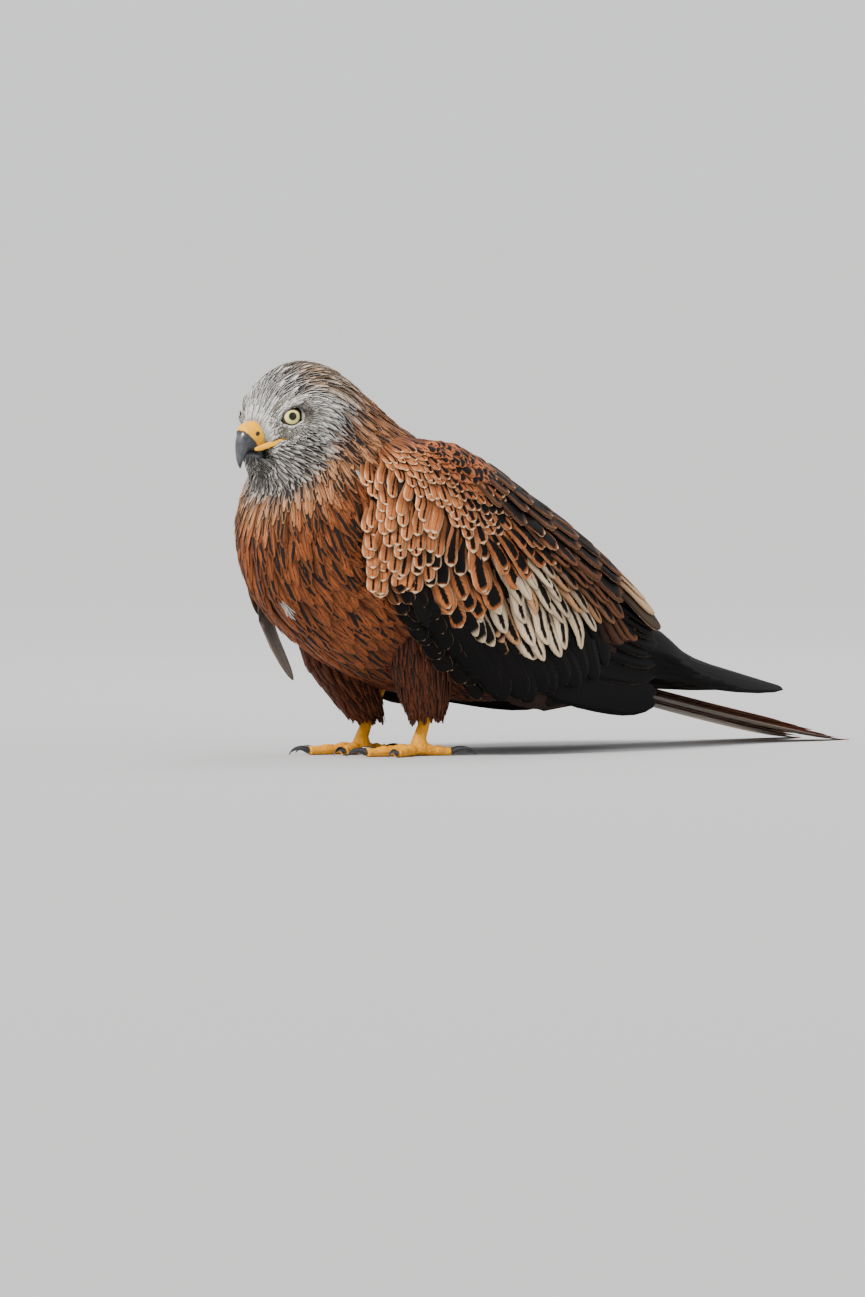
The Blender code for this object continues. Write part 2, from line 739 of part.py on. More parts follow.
def build():
    clear_scene()
    pieces = beak()
    head(pieces, [lid(name, side) for name, side in SIDES.items()])
    nostrils(pieces[-1])
    eyes()
    plumage("neck", NECK_ROW, TORSO_ROW, 4, RUFOUS)
    rear = BODY.frame(LAST_ROW)[0] + Vector((0, 6, -3))
    torso = plumage("torso", TORSO_ROW, LAST_ROW, 16, RUFOUS, rear=rear)
    rump = tail()
    combine(rump, [swollen(torso, GAP)], "DIFFERENCE")
    for name, side in SIDES.items():
        leg(name, side)
        thigh(name, torso)
        wing(name, side)
    stand_on_origin()


build()
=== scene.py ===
# %% [markdown]
# # A red kite in its feathers
# The frame is a still bird of plain solids, at life size, that faces -Y with its left side at
# +X. This file dresses it: a skin, some thousands of small feathers, the folded wings and the
# tail vane by vane, and the bare parts of the head and feet.
# Lengths are in millimetres and in the bird's own axes, as its maker measured them. One
# function turns them into the frame's metres, so every sum below reads like a ruler.
# %% Load the frame
import math

import bmesh
import bpy
import numpy as np
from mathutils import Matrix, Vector


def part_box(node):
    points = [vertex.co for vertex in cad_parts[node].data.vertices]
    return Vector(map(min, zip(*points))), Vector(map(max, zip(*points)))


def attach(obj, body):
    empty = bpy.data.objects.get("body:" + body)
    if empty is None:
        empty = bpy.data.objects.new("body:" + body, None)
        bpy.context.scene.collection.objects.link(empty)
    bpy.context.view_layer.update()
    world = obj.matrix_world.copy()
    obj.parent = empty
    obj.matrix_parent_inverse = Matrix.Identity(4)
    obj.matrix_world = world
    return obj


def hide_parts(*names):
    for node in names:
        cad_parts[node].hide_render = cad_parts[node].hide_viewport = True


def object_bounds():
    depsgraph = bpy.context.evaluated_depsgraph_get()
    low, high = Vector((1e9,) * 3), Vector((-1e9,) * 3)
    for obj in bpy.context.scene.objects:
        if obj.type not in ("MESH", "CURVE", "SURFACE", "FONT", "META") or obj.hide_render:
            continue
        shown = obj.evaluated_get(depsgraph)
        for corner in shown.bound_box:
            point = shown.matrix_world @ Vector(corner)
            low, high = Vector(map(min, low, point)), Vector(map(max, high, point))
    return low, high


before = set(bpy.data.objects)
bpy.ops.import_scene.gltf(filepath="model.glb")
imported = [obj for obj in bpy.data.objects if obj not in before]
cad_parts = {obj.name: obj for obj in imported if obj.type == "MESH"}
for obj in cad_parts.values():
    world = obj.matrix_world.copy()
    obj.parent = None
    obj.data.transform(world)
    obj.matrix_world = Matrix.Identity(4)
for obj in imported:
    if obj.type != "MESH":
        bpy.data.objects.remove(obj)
cad_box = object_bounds()
print("nodes:", len(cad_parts), "box:", [tuple(round(v, 4) for v in p) for p in cad_box])

# %% [markdown]
# ## Where the bird's own origin is
# The solids were moved so that the whole box sits over the world's origin. The left eye is a
# ball whose centre is known in the bird's axes, so the eye's box gives the shift between the
# two. Measuring it here is safer than copying a number: if the model is packed again with a
# longer tail, this line still finds the right place.
# %% Millimetres to the frame
EYE_CENTRE = np.array([19.0, -108.0, 231.5])
eye_low, eye_high = (np.array(corner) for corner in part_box("eye_left"))
SHIFT = (eye_low + eye_high) / 2 - EYE_CENTRE * 0.001


def metres(points):
    return np.asarray(points, float) * 0.001 + SHIFT


print("shift in metres:", SHIFT.round(4))

# %% [markdown]
# ## The camera
# The photograph was taken from a distance with a long lens, a little to the bird's left of
# its face and almost level. A long lens flattens depth, so the camera stands nine metres off
# and the focal length follows from how tall the picture is at the bird: 36 mm of sensor,
# times the distance, over that height. A short lens close by would swell the head.
# %% Camera
VIEW_TURN, VIEW_RISE = math.radians(48), math.radians(2)
VIEW_AWAY = 9.0
PICTURE_HEIGHT = 0.882
PICTURE_CENTRE = (19.3, 21.5, 72.4)
back = Vector((
    math.sin(VIEW_TURN) * math.cos(VIEW_RISE),
    -math.cos(VIEW_TURN) * math.cos(VIEW_RISE),
    math.sin(VIEW_RISE),
))
camera = bpy.data.objects.new("camera", bpy.data.cameras.new("camera"))
bpy.context.scene.collection.objects.link(camera)
camera.location = Vector(metres(PICTURE_CENTRE)) + back * VIEW_AWAY
camera.rotation_mode = "QUATERNION"
camera.rotation_quaternion = (-back).to_track_quat("-Z", "Y")
camera.data.sensor_width = 36
camera.data.lens = 36 * VIEW_AWAY / PICTURE_HEIGHT
camera.data.clip_end = 100
bpy.context.scene.camera = camera
print("lens:", round(camera.data.lens, 1), "mm")

# %% [markdown]
# ## Floor and light
# A museum photographer would set the bird on a pale sweep of paper under soft light, with no
# line where the floor ends. Paper that reflects a share s of the light looks as bright as
# the sky behind it when s * (sun / pi + sky) = sky, so the paper's tone is worked out from
# the two. The photograph's sun stands high on the left, and so does this one, but its disc
# is 14 degrees wide, which softens every shadow's edge. Two weak lamps fill and rim.
# %% Floor and lamps
def clear_selection():
    bpy.ops.object.select_all(action="DESELECT")


clear_selection()
floor_level = float(cad_box[0][2])
SKY, SUN, SUN_TURN, SUN_RISE = 1.05, 6.0, 8, 46
paper_share = SKY / (SUN * math.sin(math.radians(SUN_RISE)) / math.pi + SKY)
bpy.ops.mesh.primitive_plane_add(size=300, location=(0, 0, floor_level))
floor = bpy.context.object
floor.name = "floor"
paper = bpy.data.materials.new("paper_floor")
paper.use_nodes = True
paper_shader = paper.node_tree.nodes["Principled BSDF"]
paper_shader.inputs["Base Color"].default_value = [paper_share * c for c in (1.0, 1.0, 1.01)] + [1]
paper_shader.inputs["Roughness"].default_value = 1.0
paper_shader.inputs["Specular IOR Level"].default_value = 0.0
floor.data.materials.append(paper)

world = bpy.data.worlds.new("studio")
world.use_nodes = True
world.node_tree.nodes["Background"].inputs["Color"].default_value = (0.98, 0.99, 1.0, 1)
world.node_tree.nodes["Background"].inputs["Strength"].default_value = SKY
bpy.context.scene.world = world


print("paper reflects", round(paper_share, 2))


def lamp(name, turn, rise, away, size, watts, tone=(1, 1, 1)):
    """A square soft lamp that looks at the bird; turn and rise are as the camera's."""
    light = bpy.data.lights.new(name, "AREA")
    light.size, light.energy, light.color = size, watts, tone
    obj = bpy.data.objects.new(name, light)
    bpy.context.scene.collection.objects.link(obj)
    a, e = math.radians(turn), math.radians(rise)
    away_from = Vector((math.sin(a) * math.cos(e), -math.cos(a) * math.cos(e), math.sin(e)))
    obj.location = Vector(metres(PICTURE_CENTRE)) + away_from * away
    obj.rotation_mode = "QUATERNION"
    obj.rotation_quaternion = (-away_from).to_track_quat("-Z", "Y")
    return obj


key = lamp("key", SUN_TURN, SUN_RISE, 3.0, 1.0, 1.0, (1.0, 0.97, 0.93))
key.data.type = "SUN"
key.data.energy = SUN
key.data.angle = math.radians(14)
lamp("fill", 95, 22, 2.6, 1.6, 6, (0.92, 0.96, 1.0))
lamp("rim", 205, 50, 2.4, 1.0, 16)

# %% [markdown]
# ## The tube that the plumage follows
# A bird's feathers hide its bones, so its outline is simple: one long tube of oval sections
# from face to tail. Each row below is one section, given by the belly's midline, the back's
# midline, half the width, and how far up it is widest. Smooth curves join the rows. A second
# tube, squarer in section, carries the folded wings. These are the same numbers as the
# solids', so a feather placed by its length along the tube and its angle round it lands on
# them from every side.
# %% Rows of the two tubes
HEAD_ROWS = [
    (-113, 194, -124, 231, 13, 0.54),
    (-115, 190, -112, 255, 25, 0.56),
    (-116, 188, -86, 268, 33, 0.57),
    (-116, 186, -60, 264, 37, 0.56),
    (-115, 181, -33, 247, 41, 0.54),
]
BREAST_ROWS = [
    (-121, 166, -15, 232, 50, 0.56),
    (-124, 140, -3, 224, 57, 0.60),
    (-109, 105, 16, 213, 62, 0.60),
    (-64, 70, 51, 192, 67, 0.57),
]
RUMP_ROWS = [
    (-2, 45, 91, 168, 62, 0.50),
    (62, 36, 117, 133, 49, 0.45),
    (116, 36, 142, 98, 30, 0.43),
    (152, 40, 166, 72, 18, 0.45),
]
WING_TUBE_ROWS = [
    (-6, 25, 88, 172, 68, 0.56),
    (54, -14, 123, 153, 70, 0.58),
    (124, -19, 166, 128, 60, 0.58),
    (181, -18, 208, 97, 49, 0.62),
    (224, -16, 241, 67, 42, 0.72),
    (268, -13, 278, 52, 35, 0.79),
    (313, -9, 319, 42, 28, 0.83),
    (357, -1, 361, 35, 20, 0.83),
]
NECK_ROW, TORSO_ROW, LAST_ROW = 3.7, 5.0, 12
ROUND, SLAB = 2.0, 2.7


# %% Reading a tube for many places at once
def unit(vectors):
    return vectors / np.maximum(np.linalg.norm(vectors, axis=-1, keepdims=True), 1e-9)


class Tube:
    """Oval sections across the plane x = 0, their rows joined by Catmull-Rom curves."""

    def __init__(self, rows, square):
        self.rows = np.array(rows, float)
        self.power = 2 / square
        self.steps = np.linspace(0, len(rows) - 1, 60 * len(rows))
        centres = self.frame(self.steps)[0]
        gaps = np.linalg.norm(np.diff(centres, axis=0), axis=1)
        self.lengths = np.concatenate([[0], np.cumsum(gaps)])

    def read(self, row):
        last = len(self.rows) - 1
        row = np.clip(row, 0, last)
        at = np.minimum(row.astype(int), last - 1)
        t = (row - at)[..., None]
        p0, p1, p2, p3 = (self.rows[np.clip(at + k, 0, last)] for k in (-1, 0, 1, 2))
        bend = 2 * t**3 - 3 * t**2
        return (
            (bend + 1) * p1 + (t**3 - 2 * t**2 + t) * (p2 - p0) / 2
            - bend * p2 + (t**3 - t**2) * (p3 - p1) / 2
        )

    def length_at(self, row):
        return np.interp(row, self.steps, self.lengths)

    def row_at(self, length):
        return np.interp(length, self.lengths, self.steps)

    def frame(self, row):
        """Centres of the sections, and their directions from belly to back."""
        values = self.read(np.asarray(row, float))
        zero = np.zeros(values.shape[:-1] + (1,))
        belly = np.concatenate([zero, values[..., 0:2]], -1)
        spine = np.concatenate([zero, values[..., 2:4]], -1)
        return belly + (spine - belly) * values[..., 5:6], unit(spine - belly), values

    def point(self, row, angle, lift=0.0):
        """Places on the surface: angle 0 is the belly's midline and 180 the back's."""
        centre, rise, values = self.frame(row)
        depth = np.hypot(values[..., 2] - values[..., 0], values[..., 3] - values[..., 1])
        turn = np.radians(angle)
        across, down = np.sin(turn), np.cos(turn)
        depth = depth * np.where(down > 0, values[..., 5], 1 - values[..., 5])
        across = np.sign(across) * np.abs(across) ** self.power * (values[..., 4] + lift)
        down = np.sign(down) * np.abs(down) ** self.power * (depth + lift)
        return centre + across[..., None] * np.array([1.0, 0, 0]) - rise * down[..., None]


BODY = Tube(HEAD_ROWS + BREAST_ROWS + RUMP_ROWS, ROUND)
MANTLE = Tube(BREAST_ROWS + WING_TUBE_ROWS, SLAB)
CHEST_LENGTH = float(MANTLE.length_at(2))
print("tube lengths:", round(BODY.lengths[-1]), round(MANTLE.lengths[-1]), "mm")

# %% [markdown]
# ## Brow, eye hollow and cheek
# A kite's bony brow shades its eye, and that shade gives the stern look. The plumage tube is
# smooth there, so a few soft bumps are added to it: each pushes the surface out or in, most
# at its centre and fading with distance. The solids have the same bumps.
# %% The shaped surface of head and body
BUMPS = [
    ((7.0, 1.0, 10.0), 6.5, 2.4),
    ((7.0, -1.0, -0.5), 7.0, -2.6),
    ((6.0, 11.0, -14.0), 10.0, 1.8),
    ((0.0, -12.0, -6.0), 6.0, -1.4),
]


def plumage_point(row, angle, lift=0.0):
    """A place on the outline of the feathers, lifted off it by some millimetres."""
    base = BODY.point(row, angle, lift)
    side = np.where(base[..., 0:1] < 0, -1.0, 1.0)
    push = np.zeros(base.shape[:-1] + (1,))
    for (x, y, z), reach, height in BUMPS:
        eye = EYE_CENTRE + np.array([x, y, z])
        at = np.concatenate([side * eye[0], np.full_like(side, eye[1]), np.full_like(side, eye[2])], -1)
        gap = np.linalg.norm(base - at, axis=-1, keepdims=True)
        push += height * np.exp(-((gap / reach) ** 2))
    push *= (row <= NECK_ROW)[..., None]
    return base + unit(base - BODY.frame(row)[0]) * push


def normals(surface, along, angle, lift, step=0.6):
    """Outward directions of a surface that is read by length and angle."""
    ahead = surface(along + step, angle, lift) - surface(along - step, angle, lift)
    round_it = surface(along, angle + step, lift) - surface(along, angle - step, lift)
    out = unit(np.cross(round_it, ahead))
    off = surface(along, angle, lift + 1.0) - surface(along, angle, lift)
    return np.where((out * off).sum(-1, keepdims=True) < 0, -out, out)


def body_surface(along, angle, lift):
    """Before the first row the surface runs straight on, over the rim of the cere."""
    place = plumage_point(BODY.row_at(along), angle, lift)
    ahead = plumage_point(BODY.row_at(0 * along + 1.5), angle, lift) - plumage_point(BODY.row_at(0 * along), angle, lift)
    return place + unit(ahead) * np.minimum(along, 0)[..., None]


def mantle_surface(along, angle, lift):
    return MANTLE.point(MANTLE.row_at(CHEST_LENGTH + along), angle, lift)


# %% [markdown]
# ## A small kit for materials
# Every finish here is a chain of nodes that ends in one Principled shader. Typing each node
# and link by hand fills pages, so a recipe object adds them in short calls. Values that are
# the same all over a surface, such as its roughness, are set on the shader itself.
# %% Material recipes
class Recipe:
    """A material that is built up node by node."""

    def __init__(self, name, **sockets):
        self.material = bpy.data.materials.new(name)
        self.material.use_nodes = True
        self.nodes = self.material.node_tree.nodes
        self.links = self.material.node_tree.links
        self.shader = self.nodes["Principled BSDF"]
        for socket, value in sockets.items():
            self.shader.inputs[socket.replace("_", " ")].default_value = value

    def put(self, kind, inputs, **settings):
        """Adds a node, and sets or links its inputs by their number or name."""
        node = self.nodes.new("ShaderNode" + kind)
        for key, value in settings.items():
            setattr(node, key, value)
        for key, value in inputs.items():
            if isinstance(value, bpy.types.NodeSocket):
                self.links.new(value, node.inputs[key])
            else:
                node.inputs[key].default_value = value
        return node

    def sum(self, operation, *values, clamp=False):
        node = self.put("Math", dict(enumerate(values)), operation=operation, use_clamp=clamp)
        return node.outputs[0]

    def ramp(self, value, low, high, start=0.0, end=1.0):
        """Start below low and end above high, smoothly between."""
        inputs = {"Value": value, "From Min": low, "From Max": high, "To Min": start, "To Max": end}
        node = self.put("MapRange", inputs, interpolation_type="SMOOTHSTEP")
        return node.outputs["Result"]

    def mix(self, share, first, second, blend="MIX"):
        node = self.put("Mix", {0: share, 6: first, 7: second}, data_type="RGBA", blend_type=blend)
        return node.outputs[2]

    def places(self):
        return self.put("TexCoord", {}).outputs["Object"]

    def noise(self, scale, detail=2.0, vector=None, roughness=0.5):
        inputs = {"Vector": vector or self.places(), "Scale": scale, "Detail": detail}
        node = self.put("TexNoise", {**inputs, "Roughness": roughness})
        return node.outputs["Fac"]

    def attribute(self, name):
        return self.put("Attribute", {}, attribute_name=name)

    def bump(self, height, distance, strength=1.0):
        node = self.put("Bump", {"Height": height, "Distance": distance, "Strength": strength})
        self.links.new(node.outputs["Normal"], self.shader.inputs["Normal"])

    def colour(self, socket):
        self.links.new(socket, self.shader.inputs["Base Color"])
        return self.material


def tone(red, green, blue):
    """A colour as a picture shows it, 0 to 255, turned into light."""
    share = np.array([red, green, blue]) / 255
    return np.where(share <= 0.04045, share / 12.92, ((share + 0.055) / 1.055) ** 2.4)


# %% [markdown]
# ## The finish of a feather
# A feather is a shaft with barbs that run outwards and forwards. A kite's body feathers are
# rufous with a black streak down the shaft and a pale, worn fringe, and its wing feathers
# are nearly black with a thin light margin. Painting each one is hopeless, so every feather
# mesh carries its own small map, across and along the vane, and two colours that say its
# tint and how wide its streak and fringe are. One recipe reads those and draws them all.
# %% Feather finish
def plumage_finish(name, streak, fringe, roughness=0.66, shaft=0.0, barb_depth=0.00025, gloss=0.2):
    """Streak and fringe are tones; shaft is how strongly the shaft itself shows."""
    r = Recipe(name, Roughness=roughness, Specular_IOR_Level=gloss)
    vane = r.put("SeparateXYZ", {0: r.put("UVMap", {}, uv_map="Vane").outputs[0]})
    u, v = vane.outputs[0], vane.outputs[1]
    across = r.sum("ABSOLUTE", r.sum("MULTIPLY_ADD", u, 2.0, -1.0))
    mark = r.attribute("mark")
    parts = r.put("SeparateColor", {0: mark.outputs["Color"]})
    streak_width, fringe_width, chance = parts.outputs
    tint = r.attribute("tint").outputs["Color"]
    slant = r.sum("MULTIPLY_ADD", across, -0.22, v)
    seed = r.sum("MULTIPLY", chance, 37.0)
    spots = r.put("CombineXYZ", {0: r.sum("MULTIPLY", slant, 26.0), 1: across, 2: seed}).outputs[0]
    barbs = r.noise(1.0, 3.0, spots)
    ragged = r.sum("MULTIPLY_ADD", barbs, 0.5, -0.25)
    reach = r.sum("MULTIPLY", streak_width, r.ramp(v, 0.0, 0.75, 0.45, 1.0))
    inner = r.sum("ADD", across, r.sum("MULTIPLY", ragged, 0.7))
    body = r.sum("SUBTRACT", 1.0, r.ramp(r.sum("SUBTRACT", inner, reach), -0.10, 0.10))
    dark = r.sum("MULTIPLY", body, r.ramp(v, 0.99, 0.88))
    dark = r.sum("MULTIPLY", dark, r.ramp(streak_width, 0.01, 0.08))
    near_tip = r.ramp(v, r.sum("SUBTRACT", 1.0, r.sum("MULTIPLY", fringe_width, 0.7)), 1.0)
    edge = r.sum("MAXIMUM", across, near_tip)
    edge = r.sum("ADD", edge, r.sum("MULTIPLY", ragged, 0.25))
    start = r.sum("SUBTRACT", 1.0, fringe_width)
    pale = r.ramp(edge, start, r.sum("ADD", start, 0.20))
    pale = r.sum("MULTIPLY", pale, r.ramp(fringe_width, 0.01, 0.06))
    pale = r.sum("MULTIPLY", pale, r.ramp(v, 0.45, 0.9, 0.05, 0.95))
    shade = r.mix(r.sum("MULTIPLY", barbs, 0.9), (0.52, 0.52, 0.52, 1), (1.35, 1.35, 1.35, 1))
    base = r.mix(1.0, tint, shade, "MULTIPLY")
    # Painted shade and real colour: each vane darkens towards its root, partly for the feather's own darker downy base
    # and partly as painted shade where it lies under the feathers above it.
    base = r.mix(r.ramp(v, 0.45, 0.85, 0.55, 0.0), base, (*streak, 1))
    base = r.mix(dark, base, (*streak, 1))
    base = r.mix(pale, base, (*fringe, 1))
    if shaft:
        line = r.sum("MULTIPLY", r.ramp(across, 0.09, 0.03), shaft)
        base = r.mix(line, base, (*streak, 1))
    r.bump(r.sum("ADD", barbs, r.ramp(across, 0.10, 0.0, 0.0, 0.6)), barb_depth, 0.6)
    return r.colour(base)


BLACK_BROWN = tone(9, 6, 5)
HEAD_PLUMAGE = plumage_finish("head_plumage", tone(26, 21, 21), tone(240, 234, 222))
BODY_PLUMAGE = plumage_finish("body_plumage", tone(24, 16, 14), tone(222, 172, 124))
WING_PLUMAGE = plumage_finish("wing_plumage", BLACK_BROWN, tone(226, 188, 150), 0.72, shaft=0.35, gloss=0.12)
TAIL_PLUMAGE = plumage_finish("tail_plumage", BLACK_BROWN, tone(236, 214, 188), shaft=0.7)
print("feather finishes:", [m.name for m in bpy.data.materials if "plumage" in m.name])

# %% [markdown]
# ## Many feathers in one mesh
# Hair systems are lost when a model is exported, so each feather is real mesh: a closed,
# flattened tube from root to tip, wider in the middle and arched across like the real vane.
# Thousands of separate objects would be slow, so one call lays a whole group out in arrays
# and makes a single mesh of it. It takes each feather's centre line, the direction it faces,
# its width, tint and marks. A second map, for baking, gives each feather a small patch at
# the place on the skin that it grows from.
# %% Feather meshes from arrays
BODY_STATIONS = np.array([0.0, 0.28, 0.56, 0.8, 0.94])
LANCE = np.array([0.30, 0.85, 1.0, 0.72, 0.30])
OVAL = np.array([0.40, 0.92, 1.0, 0.88, 0.50])
PATCH = 0.003


def feathers(name, middles, up, width, outline, stations, tint, mark, place, material,
             columns=3, arch=0.11, thick=0.06, skew=0.0, patch=PATCH, under=None):
    """One mesh of n feathers. Middles and up are n by stations by 3, the rest n long."""
    count, rows = middles.shape[:2]
    run = unit(np.gradient(middles, axis=1))
    side = unit(np.cross(run, up))
    up = np.cross(side, run)
    spread = np.linspace(-1, 1, columns)
    half = np.broadcast_to(outline, (count, rows)) * width[:, None] / 2
    reach = spread * (1 + skew * np.sign(spread))
    rise = -arch * spread**2
    body = thick * (1 - spread**4)
    ring = np.concatenate([np.arange(columns), np.arange(columns - 2, 0, -1)])
    high = np.where(np.arange(len(ring)) < columns, 1.0, -1.0)
    sides = half[..., None] * reach[ring]
    lifts = half[..., None] * rise[ring] + np.minimum(half, 4.0)[..., None] * body[ring] * high
    points = middles[:, :, None] + side[:, :, None] * sides[..., None] + up[:, :, None] * lifts[..., None]
    ends = np.stack([middles[:, 0] - run[:, 0] * 0.3, middles[:, -1] + run[:, -1] * half[:, -1:] * 0.6], 1)
    points = np.concatenate([points.reshape(count, -1, 3), ends], 1)
    around = len(ring)
    each = rows * around + 2

    k, i = np.meshgrid(np.arange(rows - 1), np.arange(around), indexing="ij")
    j = (i + 1) % around
    quads = np.stack([k * around + i, k * around + j, (k + 1) * around + j, (k + 1) * around + i], -1)
    i = np.arange(around)
    j = (i + 1) % around
    root = np.stack([np.full(around, each - 2), j, i], -1)
    last = (rows - 1) * around
    tip = np.stack([np.full(around, each - 1), last + i, last + j], -1)
    corners = np.concatenate([quads.reshape(-1), root.reshape(-1), tip.reshape(-1)])
    sizes = np.concatenate([np.full((rows - 1) * around, 4), np.full(2 * around, 3)])
    loops = (corners + each * np.arange(count)[:, None]).reshape(-1)
    starts = np.concatenate([[0], np.cumsum(np.tile(sizes, count))[:-1]])

    mesh = bpy.data.meshes.new(name)
    mesh.vertices.add(count * each)
    mesh.vertices.foreach_set("co", metres(points.reshape(-1, 3)).astype(np.float32).ravel())
    mesh.loops.add(len(loops))
    mesh.loops.foreach_set("vertex_index", loops.astype(np.int32))
    mesh.polygons.add(len(starts))
    mesh.polygons.foreach_set("loop_start", starts.astype(np.int32))
    mesh.update(calc_edges=True)
    mesh.shade_smooth()

    u = np.concatenate([np.tile((spread[ring] + 1) / 2, rows), [0.5, 0.5]])
    v = np.concatenate([np.repeat(stations, around), [0.0, 1.0]])
    vane = np.stack([np.tile(u, count), np.tile(v, count)], -1)
    write_map(mesh, "Vane", vane[loops])
    turn = np.concatenate([
        (np.arange(around)[None, :, None] + np.array([0, 1, 1, 0])).repeat(rows - 1, 0).reshape(-1),
        (np.arange(around)[:, None] + np.array([0.5, 1, 0])).reshape(-1),
        (np.arange(around)[:, None] + np.array([0.5, 0, 1])).reshape(-1),
    ]) / around
    spot = np.stack([np.tile(turn, (count, 1)), np.tile(v[corners], (count, 1))], -1) - 0.5
    spot = place[:, None] + spot * np.broadcast_to(patch, (count, 2))[:, None]
    write_map(mesh, "OFBake", spot.reshape(-1, 2))
    colours = np.repeat(tint[:, None], each, 1)
    if under is not None:
        low_side = np.concatenate([np.tile(high < 0, rows), [False, False]])
        colours[:, low_side] = under[:, None]
    write_colours(mesh, "tint", colours.reshape(-1, 3))
    write_colours(mesh, "mark", np.repeat(mark, each, 0))
    mesh.materials.append(material)
    obj = bpy.data.objects.new(name, mesh)
    bpy.context.scene.collection.objects.link(obj)
    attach(obj, "root")
    print(f"{name}: {count} feathers, {len(sizes) * count + quads.shape[0] * around * count} triangles")
    return obj


def write_map(mesh, name, places):
    mesh.uv_layers.new(name=name, do_init=False).data.foreach_set("uv", places.astype(np.float32).ravel())


def write_colours(mesh, name, values):
    layer = mesh.color_attributes.new(name, "FLOAT_COLOR", "POINT")
    full = np.concatenate([values, np.ones((len(values), 1))], -1)
    layer.data.foreach_set("color", full.astype(np.float32).ravel())

# %% [markdown]
# ## Where the body feathers grow
# Feathers grow in rows round the body, each over the gap between two of the row before, like
# tiles. They are tiny on the face, small on the crown and long on the breast and belly. The
# tables below give length and width by row, for the belly side and the back, and a function
# walks down the tube ring by ring with a step that follows the feather's own length. A
# little seeded chance in each place keeps the rows from looking ruled.
# %% Lengths and widths along the bird
TABLE_ROWS = [0, 0.6, 1.5, 2.5, 3.7, 5, 6, 8, 10, 12]
LENGTH_BELLY = [6, 9, 14, 20, 25, 27, 29, 34, 38, 36]
LENGTH_BACK = [5, 8, 12, 15, 19, 23, 25, 28, 30, 34]
WIDTH_BELLY = [1.7, 2.4, 3.0, 3.8, 4.8, 6.6, 8.0, 10, 12, 12]
WIDTH_BACK = [1.7, 2.5, 3.3, 4.0, 5.2, 7.5, 10, 13, 14, 13]
chance = np.random.default_rng(48)


def by_row(row, angle, belly, spine):
    share = (1 - np.cos(np.radians(angle))) / 2
    low, high = np.interp(row, TABLE_ROWS, belly), np.interp(row, TABLE_ROWS, spine)
    return low + (high - low) * share


def rooted(first, last, along_share=0.30, across_share=0.62):
    """Roots, as length and angle, in rings from the first row to the last."""
    found, along, ring = [], float(BODY.length_at(first)), 0
    while along < BODY.length_at(last):
        row = float(BODY.row_at(along))
        turn = np.radians(np.arange(0, 360, 4.0))
        spots = plumage_point(np.full(len(turn), row), np.degrees(turn))
        steps = np.linalg.norm(np.roll(spots, -1, 0) - spots, axis=1)
        wanted = steps / (by_row(row, np.degrees(turn), WIDTH_BELLY, WIDTH_BACK) * across_share)
        total = np.concatenate([[0], np.cumsum(wanted)])
        number = np.arange(int(total[-1])) + (ring % 2) / 2
        angle = np.interp(number, total, np.append(np.degrees(turn), 360))
        found.append(np.stack([np.full(len(angle), along), angle], -1))
        along += along_share * by_row(row, 90, LENGTH_BELLY, LENGTH_BACK) * 0.5 + 0.9
        ring += 1
    found = np.concatenate(found)
    row = BODY.row_at(found[:, 0])
    length = by_row(row, found[:, 1], LENGTH_BELLY, LENGTH_BACK)
    found[:, 0] += chance.uniform(-0.10, 0.10, len(found)) * length
    return found


# %% [markdown]
# ## The colours of each part of the body
# The forehead is the whitest part, the crown is buff, the cheeks pale grey, and the throat
# is grey-white down to a ragged bib. Below that all is rufous, with a darker, redder belly
# and a nearly black mantle whose feathers are edged with rufous. Smooth steps between rows
# and angles blend one part into the next, and each feather then varies a little by chance.
# %% Tint and marks by place
FOREHEAD, CROWN, CHEEK = tone(252, 248, 242), tone(232, 204, 166), tone(214, 211, 204)
THROAT, NAPE, BREAST = tone(200, 195, 184), tone(186, 120, 74), tone(156, 84, 42)
BELLY, MANTLE_EDGE, RUMP = tone(108, 52, 26), tone(120, 68, 40), tone(140, 78, 44)
COLLAR = tone(208, 150, 104)


def step(value, low, high):
    t = np.clip((value - low) / (high - low), 0, 1)
    return (t * t * (3 - 2 * t))[..., None]


def body_tint(row, angle):
    """The tint at each place, before chance varies it."""
    turn = np.abs((angle + 180) % 360 - 180)
    face = FOREHEAD + (CHEEK - FOREHEAD) * step(turn, 135, 95)
    crown = face + (CROWN - face) * step(row, 0.9, 1.8) * step(turn, 105, 135) * 0.8
    throat = crown + (THROAT - crown) * step(turn, 80, 50)
    breast = BREAST + (COLLAR - BREAST) * step(row, 4.7, 3.6) * 0.8
    breast = breast + (NAPE - breast) * step(turn, 90, 125) * step(row, 5.6, 4.6)
    breast = breast + (MANTLE_EDGE - breast) * step(turn, 115, 145) * step(row, 4.6, 6.0)
    breast = breast + (BELLY - breast) * step(turn, 80, 40) * step(row, 7.0, 8.8)
    breast = breast + (RUMP - breast) * step(turn, 100, 130) * step(row, 9.0, 10.0)
    bib_end = 2.95 + 0.45 * step(turn, 75, 35)[..., 0]
    return throat + (breast - throat) * step(row, bib_end - 0.45, bib_end + 0.5)


